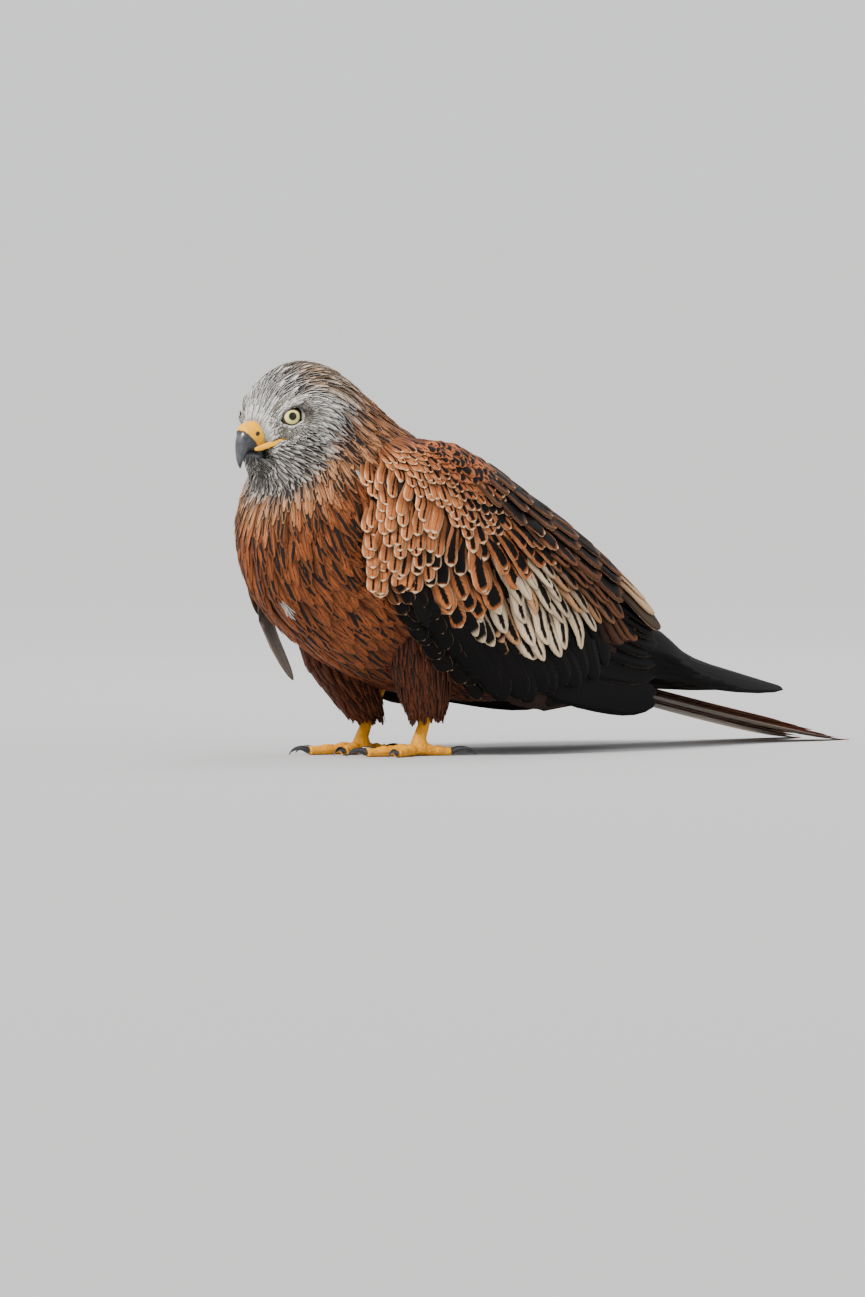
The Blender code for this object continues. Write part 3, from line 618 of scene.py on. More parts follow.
def body_mark(row, angle):
    """Streak width, fringe width and chance for each place."""
    turn = np.abs((angle + 180) % 360 - 180)
    streak = np.interp(row, [0, 0.4, 1.0, 3.2, 4.2, 5.2, 7.5, 9, 12], [0.10, 0.32, 0.46, 0.40, 0.36, 0.30, 0.26, 0.26, 0.2])
    cheek = step(turn, 125, 105) * step(turn, 60, 85) * step(row, 3.0, 2.2)
    streak = streak * (1 - 0.6 * cheek[..., 0])
    bold = chance.random(len(row)) < np.interp(row, [0, 3.2, 4.2, 7], [0.8, 0.7, 0.5, 0.45])
    streak = streak * np.where(bold, 1.35, 0.3)
    mantle = step(turn, 115, 140) * step(row, 4.8, 6.0) * step(row, 10.2, 9.2)
    streak = streak + (0.6 - streak) * mantle[..., 0]
    fringe = np.interp(row, [0, 4, 5, 7, 9, 12], [0.10, 0.12, 0.16, 0.14, 0.10, 0.14])
    return np.stack([streak, fringe, chance.uniform(0, 1, len(row))], -1)


# %% Laying a coat on the body
def laid(roots, turn_drift, low_lift, tip_lift, stations=BODY_STATIONS, scale=1.0):
    """Centre lines of feathers that lie along the tube, and the way that each faces."""
    row = BODY.row_at(roots[:, 0])
    length = by_row(row, roots[:, 1], LENGTH_BELLY, LENGTH_BACK) * scale
    length = length * chance.uniform(0.88, 1.12, len(roots))
    along = roots[:, :1] + length[:, None] * stations
    angle = roots[:, 1:2] + turn_drift[:, None] * stations
    rise = low_lift + (tip_lift - low_lift) * chance.uniform(0.75, 1.3, (len(roots), 1)) * stations**0.8
    middles = body_surface(along, angle, rise)
    up = normals(body_surface, along, angle, rise)
    return middles, up


def bake_place(roots):
    """The root's place on an unwrap of the skin, by angle and by length."""
    return 0.02 + 0.96 * np.stack([roots[:, 1] % 360 / 360, roots[:, 0] / BODY.lengths[-1]], -1)


coat_roots, coat_tints = [], []


def coat(name, roots, outline, material, drift, low_lift, tip_lift, spread=0.10, scale=1.0):
    """A whole group of body feathers in one mesh."""
    row = BODY.row_at(roots[:, 0])
    width = by_row(row, roots[:, 1], WIDTH_BELLY, WIDTH_BACK) * chance.uniform(0.85, 1.2, len(roots))
    tint = body_tint(row, roots[:, 1])
    coat_roots.append(body_surface(roots[:, 0], roots[:, 1], 0.0))
    coat_tints.append(tint)
    tint = tint * chance.uniform(1 - spread, 1 + spread, (len(roots), 1))
    if name == "head_feathers":
        top = step(np.abs(roots[:, 1] - 180), 75, 50) * step(row, 0.7, 1.6) * chance.uniform(0, 1, (len(roots), 1))
        tint = tint + (tone(186, 132, 84) - tint) * top * 0.8
    middles, up = laid(roots, drift(roots), low_lift, tip_lift, scale=scale)
    keep = clear_of_eyes(middles)
    obj = feathers(name, middles[keep], up[keep], width[keep], outline, BODY_STATIONS, tint[keep],
                   body_mark(row, roots[:, 1])[keep], bake_place(roots)[keep], material)
    return obj


EYE_LOOK = unit(np.array([0.90, -0.42, 0.06]))
EYE_TILT = math.radians(-14)
GAPE = [
    ((6.2, -128.0, 209.4), 1.3), ((8.6, -124.0, 210.8), 2.1), ((11.6, -120.2, 212.4), 2.1),
    ((15.6, -116.6, 214.3), 1.6), ((20.7, -114.6, 216.2), 1.1), ((25.1, -112.1, 217.7), 0.7),
    ((27.4, -110.2, 218.9), 0.3),
]


def eye_frame(side):
    """The eye's centre, the way it looks, and the ways back and up across it."""
    look = EYE_LOOK * (side, 1, 1)
    level = unit(np.cross((0, 0, 1.0), look)) * side
    upward = unit(np.cross(look, level)) * side
    back_way = level * math.cos(EYE_TILT) - upward * math.sin(EYE_TILT)
    return EYE_CENTRE * (side, 1, 1), look, back_way, unit(np.cross(look, back_way)) * side


def clear_of_eyes(middles):
    """Pushes the feathers' points off the eyes, and says which grow clear of eyes and gape."""
    keep = np.ones(len(middles), bool)
    for side in (1, -1):
        centre, look, back_way, up_way = eye_frame(side)
        off = middles - centre
        deep = (off * look).sum(-1)
        over, rise = (off * back_way).sum(-1), (off * up_way).sum(-1)
        tall = np.where(rise > 0, 5.9 - 0.20 * np.clip(-over, 0, 8), 7.3)
        reach = np.hypot(over / 9.0, rise / tall)
        near = (reach < 1) & (deep > -2)
        keep &= ~near[:, 0]
        push = np.where(near, 1 / np.maximum(reach, 0.1) - 1, 0)[..., None]
        middles += push * (back_way * over[..., None] + up_way * rise[..., None])
        gape = np.array([p for p, _ in GAPE]) * (side, 1, 1)
        gape = np.concatenate([gape[:-1] + (gape[1:] - gape[:-1]) * t for t in (0, 0.33, 0.67)])
        gap = np.linalg.norm(middles[:, :, None] - gape, axis=-1).min((1, 2))
        keep &= gap > 1.3
    return keep


# %% [markdown]
# ## The head
# The head is what a viewer looks at first, so its feathers are the finest and the closest.
# They grow back from the bill over the crown and down from the chin, and none crosses the
# eye. The rear edge of the group runs on under the neck's, so no line shows where they meet.
# %% Head feathers
head_roots = rooted(0.0, 3.5, 0.42, 0.68)
front_roots = head_roots[head_roots[:, 0] < 2.2] - (2.6, 0)
head_roots = np.concatenate([front_roots, head_roots])
head_turn = np.abs((head_roots[:, 1] + 180) % 360 - 180)
head_roots = head_roots[(head_turn > 66) | (BODY.row_at(head_roots[:, 0]) > 3.0)]
coat("head_feathers", head_roots, LANCE, HEAD_PLUMAGE,
     lambda roots: chance.normal(0, 3.0, len(roots)), -1.2, 0.5)

# %% [markdown]
# ## Throat, chin and the ring round the eye
# Below the bill the rows of the tube crowd together, and real feathers there stream out from
# the bill's base in long lances, so these grow in their own way. The surface is made into a
# search tree; roots are scattered on it no closer than a feather's size, and each feather
# then steps along its own direction and is put back on the surface after every step.
# %% Streaming feathers
from mathutils.bvhtree import BVHTree

CHIN = Tube([
    (-130.6, 201.2, -130.6, 207.4, 3.4, 0.5), (-127.4, 199.2, -127.4, 208.2, 5.4, 0.5),
    (-121.5, 195.5, -121.5, 209.2, 8.0, 0.5), (-114.5, 191.0, -114.5, 210.5, 11.5, 0.5),
    (-106.0, 187.0, -106.0, 212.0, 15.0, 0.5),
], ROUND)
BILL_BASE = np.array([0.0, -122.0, 207.0])


def net(rows, angles, surface):
    """Points of a surface in a net, its four-sided faces, and each face's row and angle."""
    row, angle = np.meshgrid(rows, angles, indexing="ij")
    points = surface(row, angle).reshape(-1, 3)
    number = np.arange(row.size).reshape(row.shape)
    faces = np.stack([number[:-1, :-1], number[:-1, 1:], number[1:, 1:], number[1:, :-1]], -1).reshape(-1, 4)
    places = np.stack([(row[:-1, :-1] + row[1:, 1:]) / 2, (angle[:-1, :-1] + angle[1:, 1:]) / 2], -1)
    return points, faces, places.reshape(-1, 2)


head_net = net(np.linspace(0, 6, 90), np.linspace(0, 360, 121), plumage_point)
chin_net = net(np.linspace(0, 4, 24), np.linspace(-105, 105, 41), CHIN.point)


def face_disc(share, angle):
    """The flat front end of the head's tube, from its middle to its rim."""
    rim = plumage_point(0 * angle, angle)
    middle = BODY.frame(0 * angle)[0]
    return middle + (rim - middle) * share[..., None]


disc_net = net(np.linspace(0.2, 1, 9), np.linspace(0, 360, 61), face_disc)
nets = [head_net, chin_net, disc_net]
starts = np.cumsum([0] + [len(part[0]) for part in nets])
net_points = np.concatenate([part[0] for part in nets])
net_faces = np.concatenate([part[1] + start for part, start in zip(nets, starts)])
net_places = np.concatenate([head_net[2], chin_net[2] * (0, 1) - (1, 0), disc_net[2] * (0, 1) - (2, 0)])
surface_tree = BVHTree.FromPolygons(net_points.tolist(), net_faces.tolist())


def scattered(choose, spacing, tries):
    """Random places on the net where choose allows, no two closer than their spacing."""
    corners = net_points[net_faces]
    centres = corners.mean(1)
    diagonals = np.cross(corners[:, 2] - corners[:, 0], corners[:, 3] - corners[:, 1])
    area = np.linalg.norm(diagonals, axis=1) / 2 * choose(centres, net_places)
    picked = chance.choice(len(area), tries, p=area / area.sum())
    a, b = chance.random((2, tries, 1))
    c = corners[picked]
    spots = (c[:, 0] * (1 - a) + c[:, 1] * a) * (1 - b) + (c[:, 3] * (1 - a) + c[:, 2] * a) * b
    gaps = spacing(spots)
    cells, kept = {}, []
    for k, (spot, gap) in enumerate(zip(spots, gaps)):
        cell = tuple((spot // 5).astype(int))
        near = (j for dx in (-1, 0, 1) for dy in (-1, 0, 1) for dz in (-1, 0, 1)
                for j in cells.get((cell[0] + dx, cell[1] + dy, cell[2] + dz), ()))
        if all(((spots[j] - spot) ** 2).sum() > gap * gap for j in near):
            cells.setdefault(cell, []).append(k)
            kept.append(k)
    return spots[kept], net_places[picked[kept]]


def streamed(roots, way, length, low_lift, tip_lift, stations=BODY_STATIONS):
    """Centre lines that step along the surface, and the ways that they face."""
    middles = np.zeros((len(roots), len(stations), 3))
    up = np.zeros_like(middles)
    for k, root in enumerate(roots):
        spot, last = Vector(root), 0.0
        for i, part in enumerate(stations):
            spot = spot + Vector(way[k]) * float((part - last) * length[k])
            last = part
            spot, facing, _, _ = surface_tree.find_nearest(spot)
            outward = spot - Vector((0, -95, 215))
            facing = facing if facing.dot(outward) > 0 else -facing
            middles[k, i] = spot + facing * (low_lift + (tip_lift - low_lift) * float(part) ** 0.8)
            up[k, i] = facing
    return middles, up


def throat_spot(spots, places):
    """Which places belong to the throat and chin."""
    turn = np.abs((places[:, 1] + 180) % 360 - 180)
    below_gape = spots[:, 2] < 210.5 + 0.44 * np.clip(np.abs(spots[:, 0]) - 7, 0, 22)
    chin = np.where(places[:, 0] < -1.5, turn < 100, spots[:, 1] < -108)
    return np.where(places[:, 0] < 0, chin, (turn < 80) & (places[:, 0] < 3.2)) * below_gape * 1.0


THROAT_REACH = [4, 12, 25, 45, 60]
throat_roots, throat_at = scattered(
    throat_spot, lambda p: np.interp(np.linalg.norm(p - BILL_BASE, axis=1), THROAT_REACH, [1.3, 1.8, 2.5, 3.3, 3.9]), 9000)
throat_count = len(throat_roots)
throat_reach = np.linalg.norm(throat_roots - BILL_BASE, axis=1)
throat_length = np.interp(throat_reach, THROAT_REACH, [5, 9, 14, 19, 23]) * chance.uniform(0.85, 1.15, throat_count)
throat_width = np.interp(throat_reach, THROAT_REACH, [1.4, 2.0, 2.7, 3.6, 4.4]) * chance.uniform(0.85, 1.15, throat_count)
throat_way = unit(unit(throat_roots - BILL_BASE) + (0, 0.35, -0.5))
throat_way = unit(throat_way + chance.normal(0, 0.05, throat_way.shape))
middles, up = streamed(throat_roots, throat_way, throat_length, -1.0, 0.7)
keep = clear_of_eyes(middles)
throat_tint = body_tint(np.maximum(throat_at[:, 0], 0), throat_at[:, 1])
throat_tint = throat_tint + (tone(132, 130, 126) - throat_tint) * step(throat_reach, 16, 6)
throat_tint = throat_tint * chance.uniform(0.86, 1.12, (throat_count, 1))
coat_roots.append(throat_roots)
coat_tints.append(throat_tint)
throat_mark = np.stack([chance.choice([0.12, 0.5], throat_count, p=[0.45, 0.55]), np.full(throat_count, 0.16), chance.random(throat_count)], -1)
round_head = np.degrees(np.arctan2(throat_roots[:, 0], 222 - throat_roots[:, 2])) % 360
throat_place = 0.02 + 0.96 * np.stack([round_head / 360, throat_reach / BODY.lengths[-1]], -1)
throat = feathers("throat_feathers", middles[keep], up[keep], throat_width[keep], LANCE, BODY_STATIONS,
                  throat_tint[keep], throat_mark[keep], throat_place[keep], HEAD_PLUMAGE, arch=0.12, thick=0.07)


# %% Ring of small feathers round each eye
def eye_ring(name, side):
    centre, look, back_way, up_way = eye_frame(side)
    turn = np.radians(np.concatenate([np.arange(0, 360, 7.5) + 2.5 * k for k in range(4)]))
    ring = np.repeat(np.arange(4), 48)
    over = (8.2 + 1.5 * ring) * np.cos(turn)
    rise = np.where(np.sin(turn) > 0, 5.7, 6.9) * (1 + 0.22 * ring) * np.sin(turn)
    roots = centre + look * 6 + back_way * over[:, None] + up_way * rise[:, None]
    away = unit(back_way * over[:, None] + up_way * rise[:, None])
    way = unit(away + back_way * 0.9)
    length = chance.uniform(4.0, 6.0, len(roots)) * (1 + 0.15 * ring)
    middles, up = streamed(roots, way, length, -0.8, 0.5)
    clear_of_eyes(middles)
    corner = np.abs(np.cos(turn)) ** 3 * (ring < 2)
    grey = tone(168, 164, 155) * np.ones((len(roots), 1))
    grey = grey + (tone(72, 62, 54) - grey) * (corner * 0.85)[:, None]
    front = step(-over, 3, 9) * 0.75
    grey = grey + (tone(118, 112, 100) - grey) * front
    grey = grey * chance.uniform(0.85, 1.1, (len(roots), 1))
    mark = np.stack([np.full(len(roots), 0.06), np.full(len(roots), 0.1), chance.random(len(roots))], -1)
    place = 0.02 + 0.96 * np.stack([(0.25 if side > 0 else 0.75) + 0.0025 * over, 0.06 + 0.002 * rise], -1)
    width = np.full(len(roots), 1.5)
    piece = feathers("eye_ring_" + name, middles, up, width, LANCE, BODY_STATIONS, grey, mark, place,
                     HEAD_PLUMAGE, arch=0.12, thick=0.08)


def brow(name, side):
    """Stiff feathers that run back over the eye and hide its upper edge."""
    centre, look, back_way, up_way = eye_frame(side)
    count = 64
    share = chance.uniform(0, 1, count)
    over = -13 + 15 * share
    rise = np.interp(over, [-13, -6, 0, 3], [1.5, 4.2, 6.6, 7.0]) + chance.uniform(0, 3.2, count)
    roots = centre + look * 6 + back_way * over[:, None] + up_way * rise[:, None]
    slope = np.interp(over, [-13, -4, 2], [0.42, 0.25, -0.12])
    way = unit(back_way + up_way * slope[:, None])
    length = chance.uniform(8, 11, count)
    middles, up = streamed(roots, way, length, -0.3, 1.5)
    tint = tone(226, 222, 214) * chance.uniform(0.8, 1.05, (count, 1))
    mark = np.stack([chance.uniform(0.05, 0.3, count), np.full(count, 0.1), chance.random(count)], -1)
    place = 0.02 + 0.96 * np.stack([(0.27 if side > 0 else 0.73) + 0.0025 * over, 0.10 + 0.002 * rise], -1)
    piece = feathers("brow_" + name, middles, up, np.full(count, 2.1), LANCE, BODY_STATIONS, tint, mark,
                     place, HEAD_PLUMAGE, arch=0.12, thick=0.08)


for name, side in (("left", 1), ("right", -1)):
    eye_ring(name, side)
    brow(name, side)

# %% [markdown]
# ## Neck, breast, belly and back
# These grow as lances with black shaft streaks. The ones that a folded wing hides are left
# out, as they would only slow the render.
# %% Body feathers
body_roots = rooted(3.45, 11.6)
body_row = BODY.row_at(body_roots[:, 0])
body_turn = np.abs((body_roots[:, 1] + 180) % 360 - 180)
hidden = (body_row > 7.3) & (body_turn > np.interp(body_row, [7.3, 8.6], [86, 102])) & (body_turn < np.interp(body_row, [7.3, 9.5], [118, 150]))
body_roots = body_roots[~hidden]
front = BODY.row_at(body_roots[:, 0]) < 6.2
coat("neck_feathers", body_roots[front], LANCE, BODY_PLUMAGE,
     lambda roots: chance.normal(0, 3.5, len(roots)), -2.0, 0.7, 0.16)
coat("body_feathers", body_roots[~front], LANCE, BODY_PLUMAGE,
     lambda roots: chance.normal(0, 4.0, len(roots)), -2.2, 0.8, 0.18)

# %% [markdown]
# ## Loose plumes
# Behind each thigh the flank feathers grow long and hang loose, and here and there the white
# down of a ruffled feather shows. Both are small groups that stream over the same tube: the
# flank's are longer than their neighbours and stand off at the tip, and the down is a tuft
# of short white barbs that spring from one place.
# %% Flank plumes and tufts of down
def flank_plumes():
    count = 90
    sides = np.where(np.arange(count) % 2, 1.0, -1.0)
    turn = chance.uniform(34, 84, count)
    along = chance.uniform(BODY.length_at(8.1), BODY.length_at(9.6), count)
    angle = np.where(sides > 0, turn, 360 - turn)
    drift = chance.normal(-16, 5, count) * sides
    roots = np.stack([along, angle], -1)
    length = chance.uniform(34, 52, count)
    at = BODY_STATIONS
    line, round_it = along[:, None] + length[:, None] * at, angle[:, None] + drift[:, None] * at
    lift = -2.0 + chance.uniform(3.0, 6.5, (count, 1)) * at**1.3
    middles = body_surface(line, round_it, lift)
    up = normals(body_surface, line, round_it, lift)
    tint = BREAST * chance.uniform(0.6, 1.1, (count, 1))
    mark = np.stack([chance.uniform(0.1, 0.4, count), np.full(count, 0.14), chance.random(count)], -1)
    piece = feathers("flank_plumes", middles, up, chance.uniform(4.5, 7.0, count), LANCE, BODY_STATIONS,
                     tint, mark, bake_place(roots), BODY_PLUMAGE)


TUFTS = [(5.0, 78, 6.0), (7.0, 11, 9.0), (8.5, 56, 6.0)]


def down_tufts():
    count = 14 * len(TUFTS)
    row, turn, reach = np.repeat(np.array(TUFTS), 14, axis=0).T
    along = BODY.length_at(row) + chance.normal(0, 1.2, count)
    angle = turn + chance.normal(0, 0.8, count)
    drift = chance.normal(0, 1.2, count)
    length = reach * chance.uniform(0.6, 1.3, count)
    at = BODY_STATIONS
    line, round_it = along[:, None] + length[:, None] * at, angle[:, None] + drift[:, None] * at
    lift = 0.6 + chance.uniform(1.2, 2.1, (count, 1)) * at**0.8
    middles = body_surface(line, round_it, lift)
    up = normals(body_surface, line, round_it, lift)
    tint = tone(236, 231, 222) * np.ones((count, 1))
    mark = np.stack([np.zeros(count), np.zeros(count), chance.random(count)], -1)
    place = bake_place(np.stack([along, angle], -1))
    piece = feathers("down_tufts", middles, up, np.full(count, 0.95), LANCE, BODY_STATIONS, tint, mark,
                     place, HEAD_PLUMAGE)


flank_plumes()
down_tufts()

# %% [markdown]
# ## Trousers
# A kite's thighs carry long loose feathers, its trousers, which hide the leg down to the
# ankle. Each thigh is a stack of level ovals, and its feathers grow in rings that hang down.
# %% Thigh feathers
THIGH_ROWS = {
    "left": [(40, 6, 112, 20, 34), (37, -2, 84, 21, 33), (33, 0, 58, 17, 26), (29, 6, 36, 12, 18), (27.5, 8, 24, 8.5, 12.5)],
    "right": [(-40, -8, 112, 20, 34), (-38, -16, 84, 21, 33), (-34, -14, 58, 17, 27), (-29.5, -2, 34, 12, 18), (-27.5, 4, 22, 8.5, 12.5)],
}
THIGH_LENGTH, THIGH_WIDTH = 27.0, 5.0


def thigh_surface(name, height, angle, lift):
    """A place on a thigh by its height, and its angle seen from above."""
    rows = np.array(THIGH_ROWS[name], float)[::-1]
    x, y, wide, long = (np.interp(height, rows[:, 2], rows[:, c]) for c in (0, 1, 3, 4))
    turn = np.radians(angle)
    return np.stack([x + (wide + lift) * np.cos(turn), y + (long + lift) * np.sin(turn), height], -1)


def thigh_feathers(name):
    heights = np.arange(96, 33, -4.5)
    roots = np.concatenate([
        np.stack([np.full(28, h), np.arange(28) * 360 / 28 + 6.4 * (k % 2)], -1) for k, h in enumerate(heights)
    ])
    roots = roots + chance.normal(0, 1, roots.shape) * (1.5, 3.0)
    count = len(roots)
    length = THIGH_LENGTH * chance.uniform(0.85, 1.15, count) * np.interp(roots[:, 0], [28, 60], [0.45, 1])
    height = np.maximum(roots[:, :1] - length[:, None] * BODY_STATIONS, 17 + 12 * chance.random((count, 1)) ** 1.5)
    height = height + np.linspace(0, -0.4, len(BODY_STATIONS))
    angle = roots[:, 1:] + chance.normal(0, 4, (count, 1)) * BODY_STATIONS
    lift = -1.8 + (2.6 * chance.uniform(0.7, 1.4, (count, 1))) * BODY_STATIONS
    middles = thigh_surface(name, height, angle, lift)
    up = unit(middles - thigh_surface(name, height, angle, lift - 5))
    tint = BELLY * (1 + 0.25 * (chance.random((count, 1)) - 0.5)) * np.ones(3)
    coat_roots.append(middles[:, 0])
    coat_tints.append(tint)
    mark = np.stack([chance.uniform(0.15, 0.4, count), np.full(count, 0.12), chance.random(count)], -1)
    place = 0.02 + 0.96 * np.stack([roots[:, 1] % 360 / 360, roots[:, 0] / 112], -1)
    width = THIGH_WIDTH * chance.uniform(0.7, 1.2, count)
    obj = feathers(f"thigh_feathers_{name}", middles, up, width, LANCE, BODY_STATIONS, tint, mark, place, BODY_PLUMAGE)


for name in ("left", "right"):
    thigh_feathers(name)

# %% [markdown]
# ## The skin
# Under the feathers lies one skin, so that no seam of the solids shows through. It is made
# as a sculptor would fuse clay: the five flesh solids are copied, joined, wrapped in one
# even net by the Remesh modifier, smoothed, and drawn in by the depth of the coat. Each
# point of it then takes the tint of the nearest feather's root.
# %% Skin
SKIN_NODES = ("head", "neck", "torso", "thigh_left", "thigh_right")
COAT_DEPTH = 2.2


def copied(node, name):
    """A copy of a CAD node with its own mesh, its doubled points merged."""
    clear_selection()
    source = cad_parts[node]
    obj = bpy.data.objects.new(name, source.data.copy())
    bpy.context.scene.collection.objects.link(obj)
    obj.matrix_world = source.matrix_world
    obj.select_set(True)
    bpy.context.view_layer.objects.active = obj
    bpy.ops.object.mode_set(mode="EDIT")
    bpy.ops.mesh.select_all(action="SELECT")
    bpy.ops.mesh.remove_doubles(threshold=0.00001)
    bpy.ops.object.mode_set(mode="OBJECT")
    return obj


def applied(obj, kind, **settings):
    """Adds a modifier to an object and applies it."""
    modifier = obj.modifiers.new(kind.lower(), kind)
    for key, value in settings.items():
        setattr(modifier, key, value)
    bpy.context.view_layer.objects.active = obj
    bpy.ops.object.modifier_apply(modifier=modifier.name)


parts = [copied(node, "skin") for node in SKIN_NODES]
clear_selection()
for part in parts:
    part.select_set(True)
bpy.context.view_layer.objects.active = parts[0]
bpy.ops.object.join()
skin = bpy.context.object
skin.name = "skin"
applied(skin, "REMESH", mode="VOXEL", voxel_size=0.0022)
applied(skin, "SMOOTH", factor=0.5, iterations=6)
applied(skin, "DISPLACE", strength=-COAT_DEPTH * 0.001, mid_level=0.0)
skin.data.shade_smooth()

from mathutils.kdtree import KDTree

root_places = metres(np.concatenate(coat_roots))
root_tints = np.concatenate(coat_tints)
tree = KDTree(len(root_places))
for k, root in enumerate(root_places):
    tree.insert(root, k)
tree.balance()
nearest = [tree.find(v.co)[1] for v in skin.data.vertices]
write_colours(skin.data, "tint", root_tints[nearest] * 0.55)
skin_recipe = Recipe("skin_down", Roughness=0.85, Specular_IOR_Level=0.2)
down = skin_recipe.noise(900.0, 3.0)
down_tint = skin_recipe.mix(down, (0.6, 0.6, 0.6, 1), (1.3, 1.3, 1.3, 1))
skin_recipe.bump(down, 0.0004, 0.5)
skin.data.materials.clear()
skin.data.materials.append(skin_recipe.colour(
    skin_recipe.mix(1.0, skin_recipe.attribute("tint").outputs["Color"], down_tint, "MULTIPLY")
))
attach(skin, "root")
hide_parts(*SKIN_NODES)
print("skin:", len(skin.data.polygons), "faces")

# %% [markdown]
# ## The folded wing
# A folded wing is a fan shut like a hand of cards. The longest feathers lie lowest, and
# shorter ones cover their bases tier by tier, up to the small coverts at the shoulder and
# the scapulars along the back. A place on the wing is a length along the mantle tube and an
# angle round it, so a feather is a path from its root to its tip in those two numbers, at a
# height that rises tier by tier. Under them lies the wing's arm, which the roots sink into.
# %% Wing arm
WING_ROWS = np.array([
    (-32, 90, 112, 3),
    (-22, 80, 126, 7),
    (0, 71, 142, 9),
    (30, 65, 156, 9),
    (62, 61, 165, 7.5),
    (100, 60, 172, 5),
    (140, 62, 176, 3.2),
    (180, 70, 177, 2.2),
    (212, 86, 176, 1.6),
], float)
UNDERWING_GAP = 1.5
SIDES = {"left": 1, "right": -1}


def arm_edges(along):
    return [np.interp(along, WING_ROWS[:, 0], WING_ROWS[:, c]) for c in (1, 2, 3)]


def arm_top(along, angle):
    """How high the arm's outer face stands above the tube."""
    low, high, thick = arm_edges(along)
    share = np.clip((angle - low) / (high - low), 0, 1)
    return UNDERWING_GAP + 0.5 + thick * np.sqrt(np.maximum(0, 1 - (2 * share - 1) ** 4))


ARM_FINISH = Recipe("wing_arm_down", Roughness=0.85, Specular_IOR_Level=0.2)
arm_noise = ARM_FINISH.noise(700.0, 3.0)
ARM_FINISH.bump(arm_noise, 0.0005, 0.6)
ARM_FINISH.colour(ARM_FINISH.mix(arm_noise, (*tone(16, 11, 9), 1), (*tone(52, 33, 23), 1)))


def wing_arm(name):
    """A fine grid laid on the arm's face and given a thin wall."""
    clear_selection()
    bpy.ops.mesh.primitive_grid_add(x_subdivisions=40, y_subdivisions=16, size=2)
    arm = bpy.context.object
    arm.name = "wing_arm_" + name
    flat = np.empty(len(arm.data.vertices) * 3, np.float32)
    arm.data.vertices.foreach_get("co", flat)
    flat = flat.reshape(-1, 3)
    along = -32 + 244 * (flat[:, 0] + 1) / 2
    low, high, _ = arm_edges(along)
    angle = low + (high - low) * (flat[:, 1] + 1) / 2
    face = mantle_surface(along, angle, arm_top(along, angle) - 0.6) * (SIDES[name], 1, 1)
    arm.data.vertices.foreach_set("co", metres(face).astype(np.float32).ravel())
    arm.data.update()
    clear_selection()
    arm.select_set(True)
    bpy.context.view_layer.objects.active = arm
    bpy.ops.object.mode_set(mode="EDIT")
    bpy.ops.mesh.select_all(action="SELECT")
    bpy.ops.mesh.normals_make_consistent(inside=False)
    if SIDES[name] * arm.data.polygons[300].normal.x < 0:
        bpy.ops.mesh.flip_normals()
    bpy.ops.object.mode_set(mode="OBJECT")
    applied(arm, "SOLIDIFY", thickness=0.0012, offset=-1.0)
    arm.data.shade_smooth()
    arm.data.materials.append(ARM_FINISH.material)
    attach(arm, "root")
    return arm


# %% [markdown]
# ## Tiers of the wing
# Each line of the table is one tier: how many feathers, the places of the first and the last
# root and tip, the width, the height of the tips, and then the tint, streak and fringe. The
# lesser coverts are rufous with dark hearts, the median coverts make the kite's pale panel,
# and the greater coverts and flight feathers are nearly black with thin light margins.
# %% Tier table
LONG_STATIONS = np.array([0, 0.1, 0.22, 0.35, 0.48, 0.6, 0.7, 0.79, 0.87, 0.94, 0.985])
LONG_OUTLINE = np.array([0.40, 0.55, 0.7, 0.83, 0.93, 1.0, 1.0, 0.95, 0.82, 0.58, 0.28])
SHORT_STATIONS = np.array([0, 0.2, 0.42, 0.62, 0.78, 0.89, 0.955, 0.99])
SHORT_OUTLINE = np.array([0.5, 0.72, 0.9, 1.0, 1.0, 0.86, 0.62, 0.3])
NARROW_OUTLINE = np.array([0.6, 0.85, 1.0, 0.97, 0.82, 0.62, 0.4, 0.2])
RUFOUS_COVERT, CREAM, SOOT = tone(188, 112, 64), tone(224, 198, 164), tone(6, 4, 4)
DARK_EDGE, INK, BEIGE, SLATE = tone(106, 68, 46), tone(5, 3, 3), tone(198, 160, 122), tone(14, 11, 10)
TIERS = [
    ("primary", 8, (88, 60), (132, 78), (420, 148), (312, 130), 22, 2.6, INK, 0.0, 0.03),
    ("secondary", 11, (112, 76), (186, 124), (268, 80), (250, 132), 22, 4.8, INK, 0.0, 0.05),
    ("tertial", 5, (160, 134), (174, 163), (262, 119), (242, 165), 27, 8.0, BEIGE, 0.10, 0.12),
    ("alula", 3, (0, 84), (8, 80), (44, 70), (58, 64), 11, 8.2, SLATE, 0.0, 0.06),
    ("primary_covert", 8, (12, 82), (62, 74), (66, 63), (124, 63), 14, 7.0, INK, 0.0, 0.04),
    ("greater_covert", 15, (88, 73), (178, 116), (122, 62), (232, 98), 17, 8.0, SOOT, 0.0, 0.05),
]


def tier_between(name, number, first, last):
    """Tiers in even steps from the first line of values to the last."""
    for k in range(number):
        share = k / (number - 1)
        mixed = [
            tuple(np.array(a) + (np.array(b) - np.array(a)) * share) if np.ndim(a) else a + (b - a) * share
            for a, b in zip(first, last)
        ]
        yield (f"{name}_{k}", round(mixed[0]), *mixed[1:])


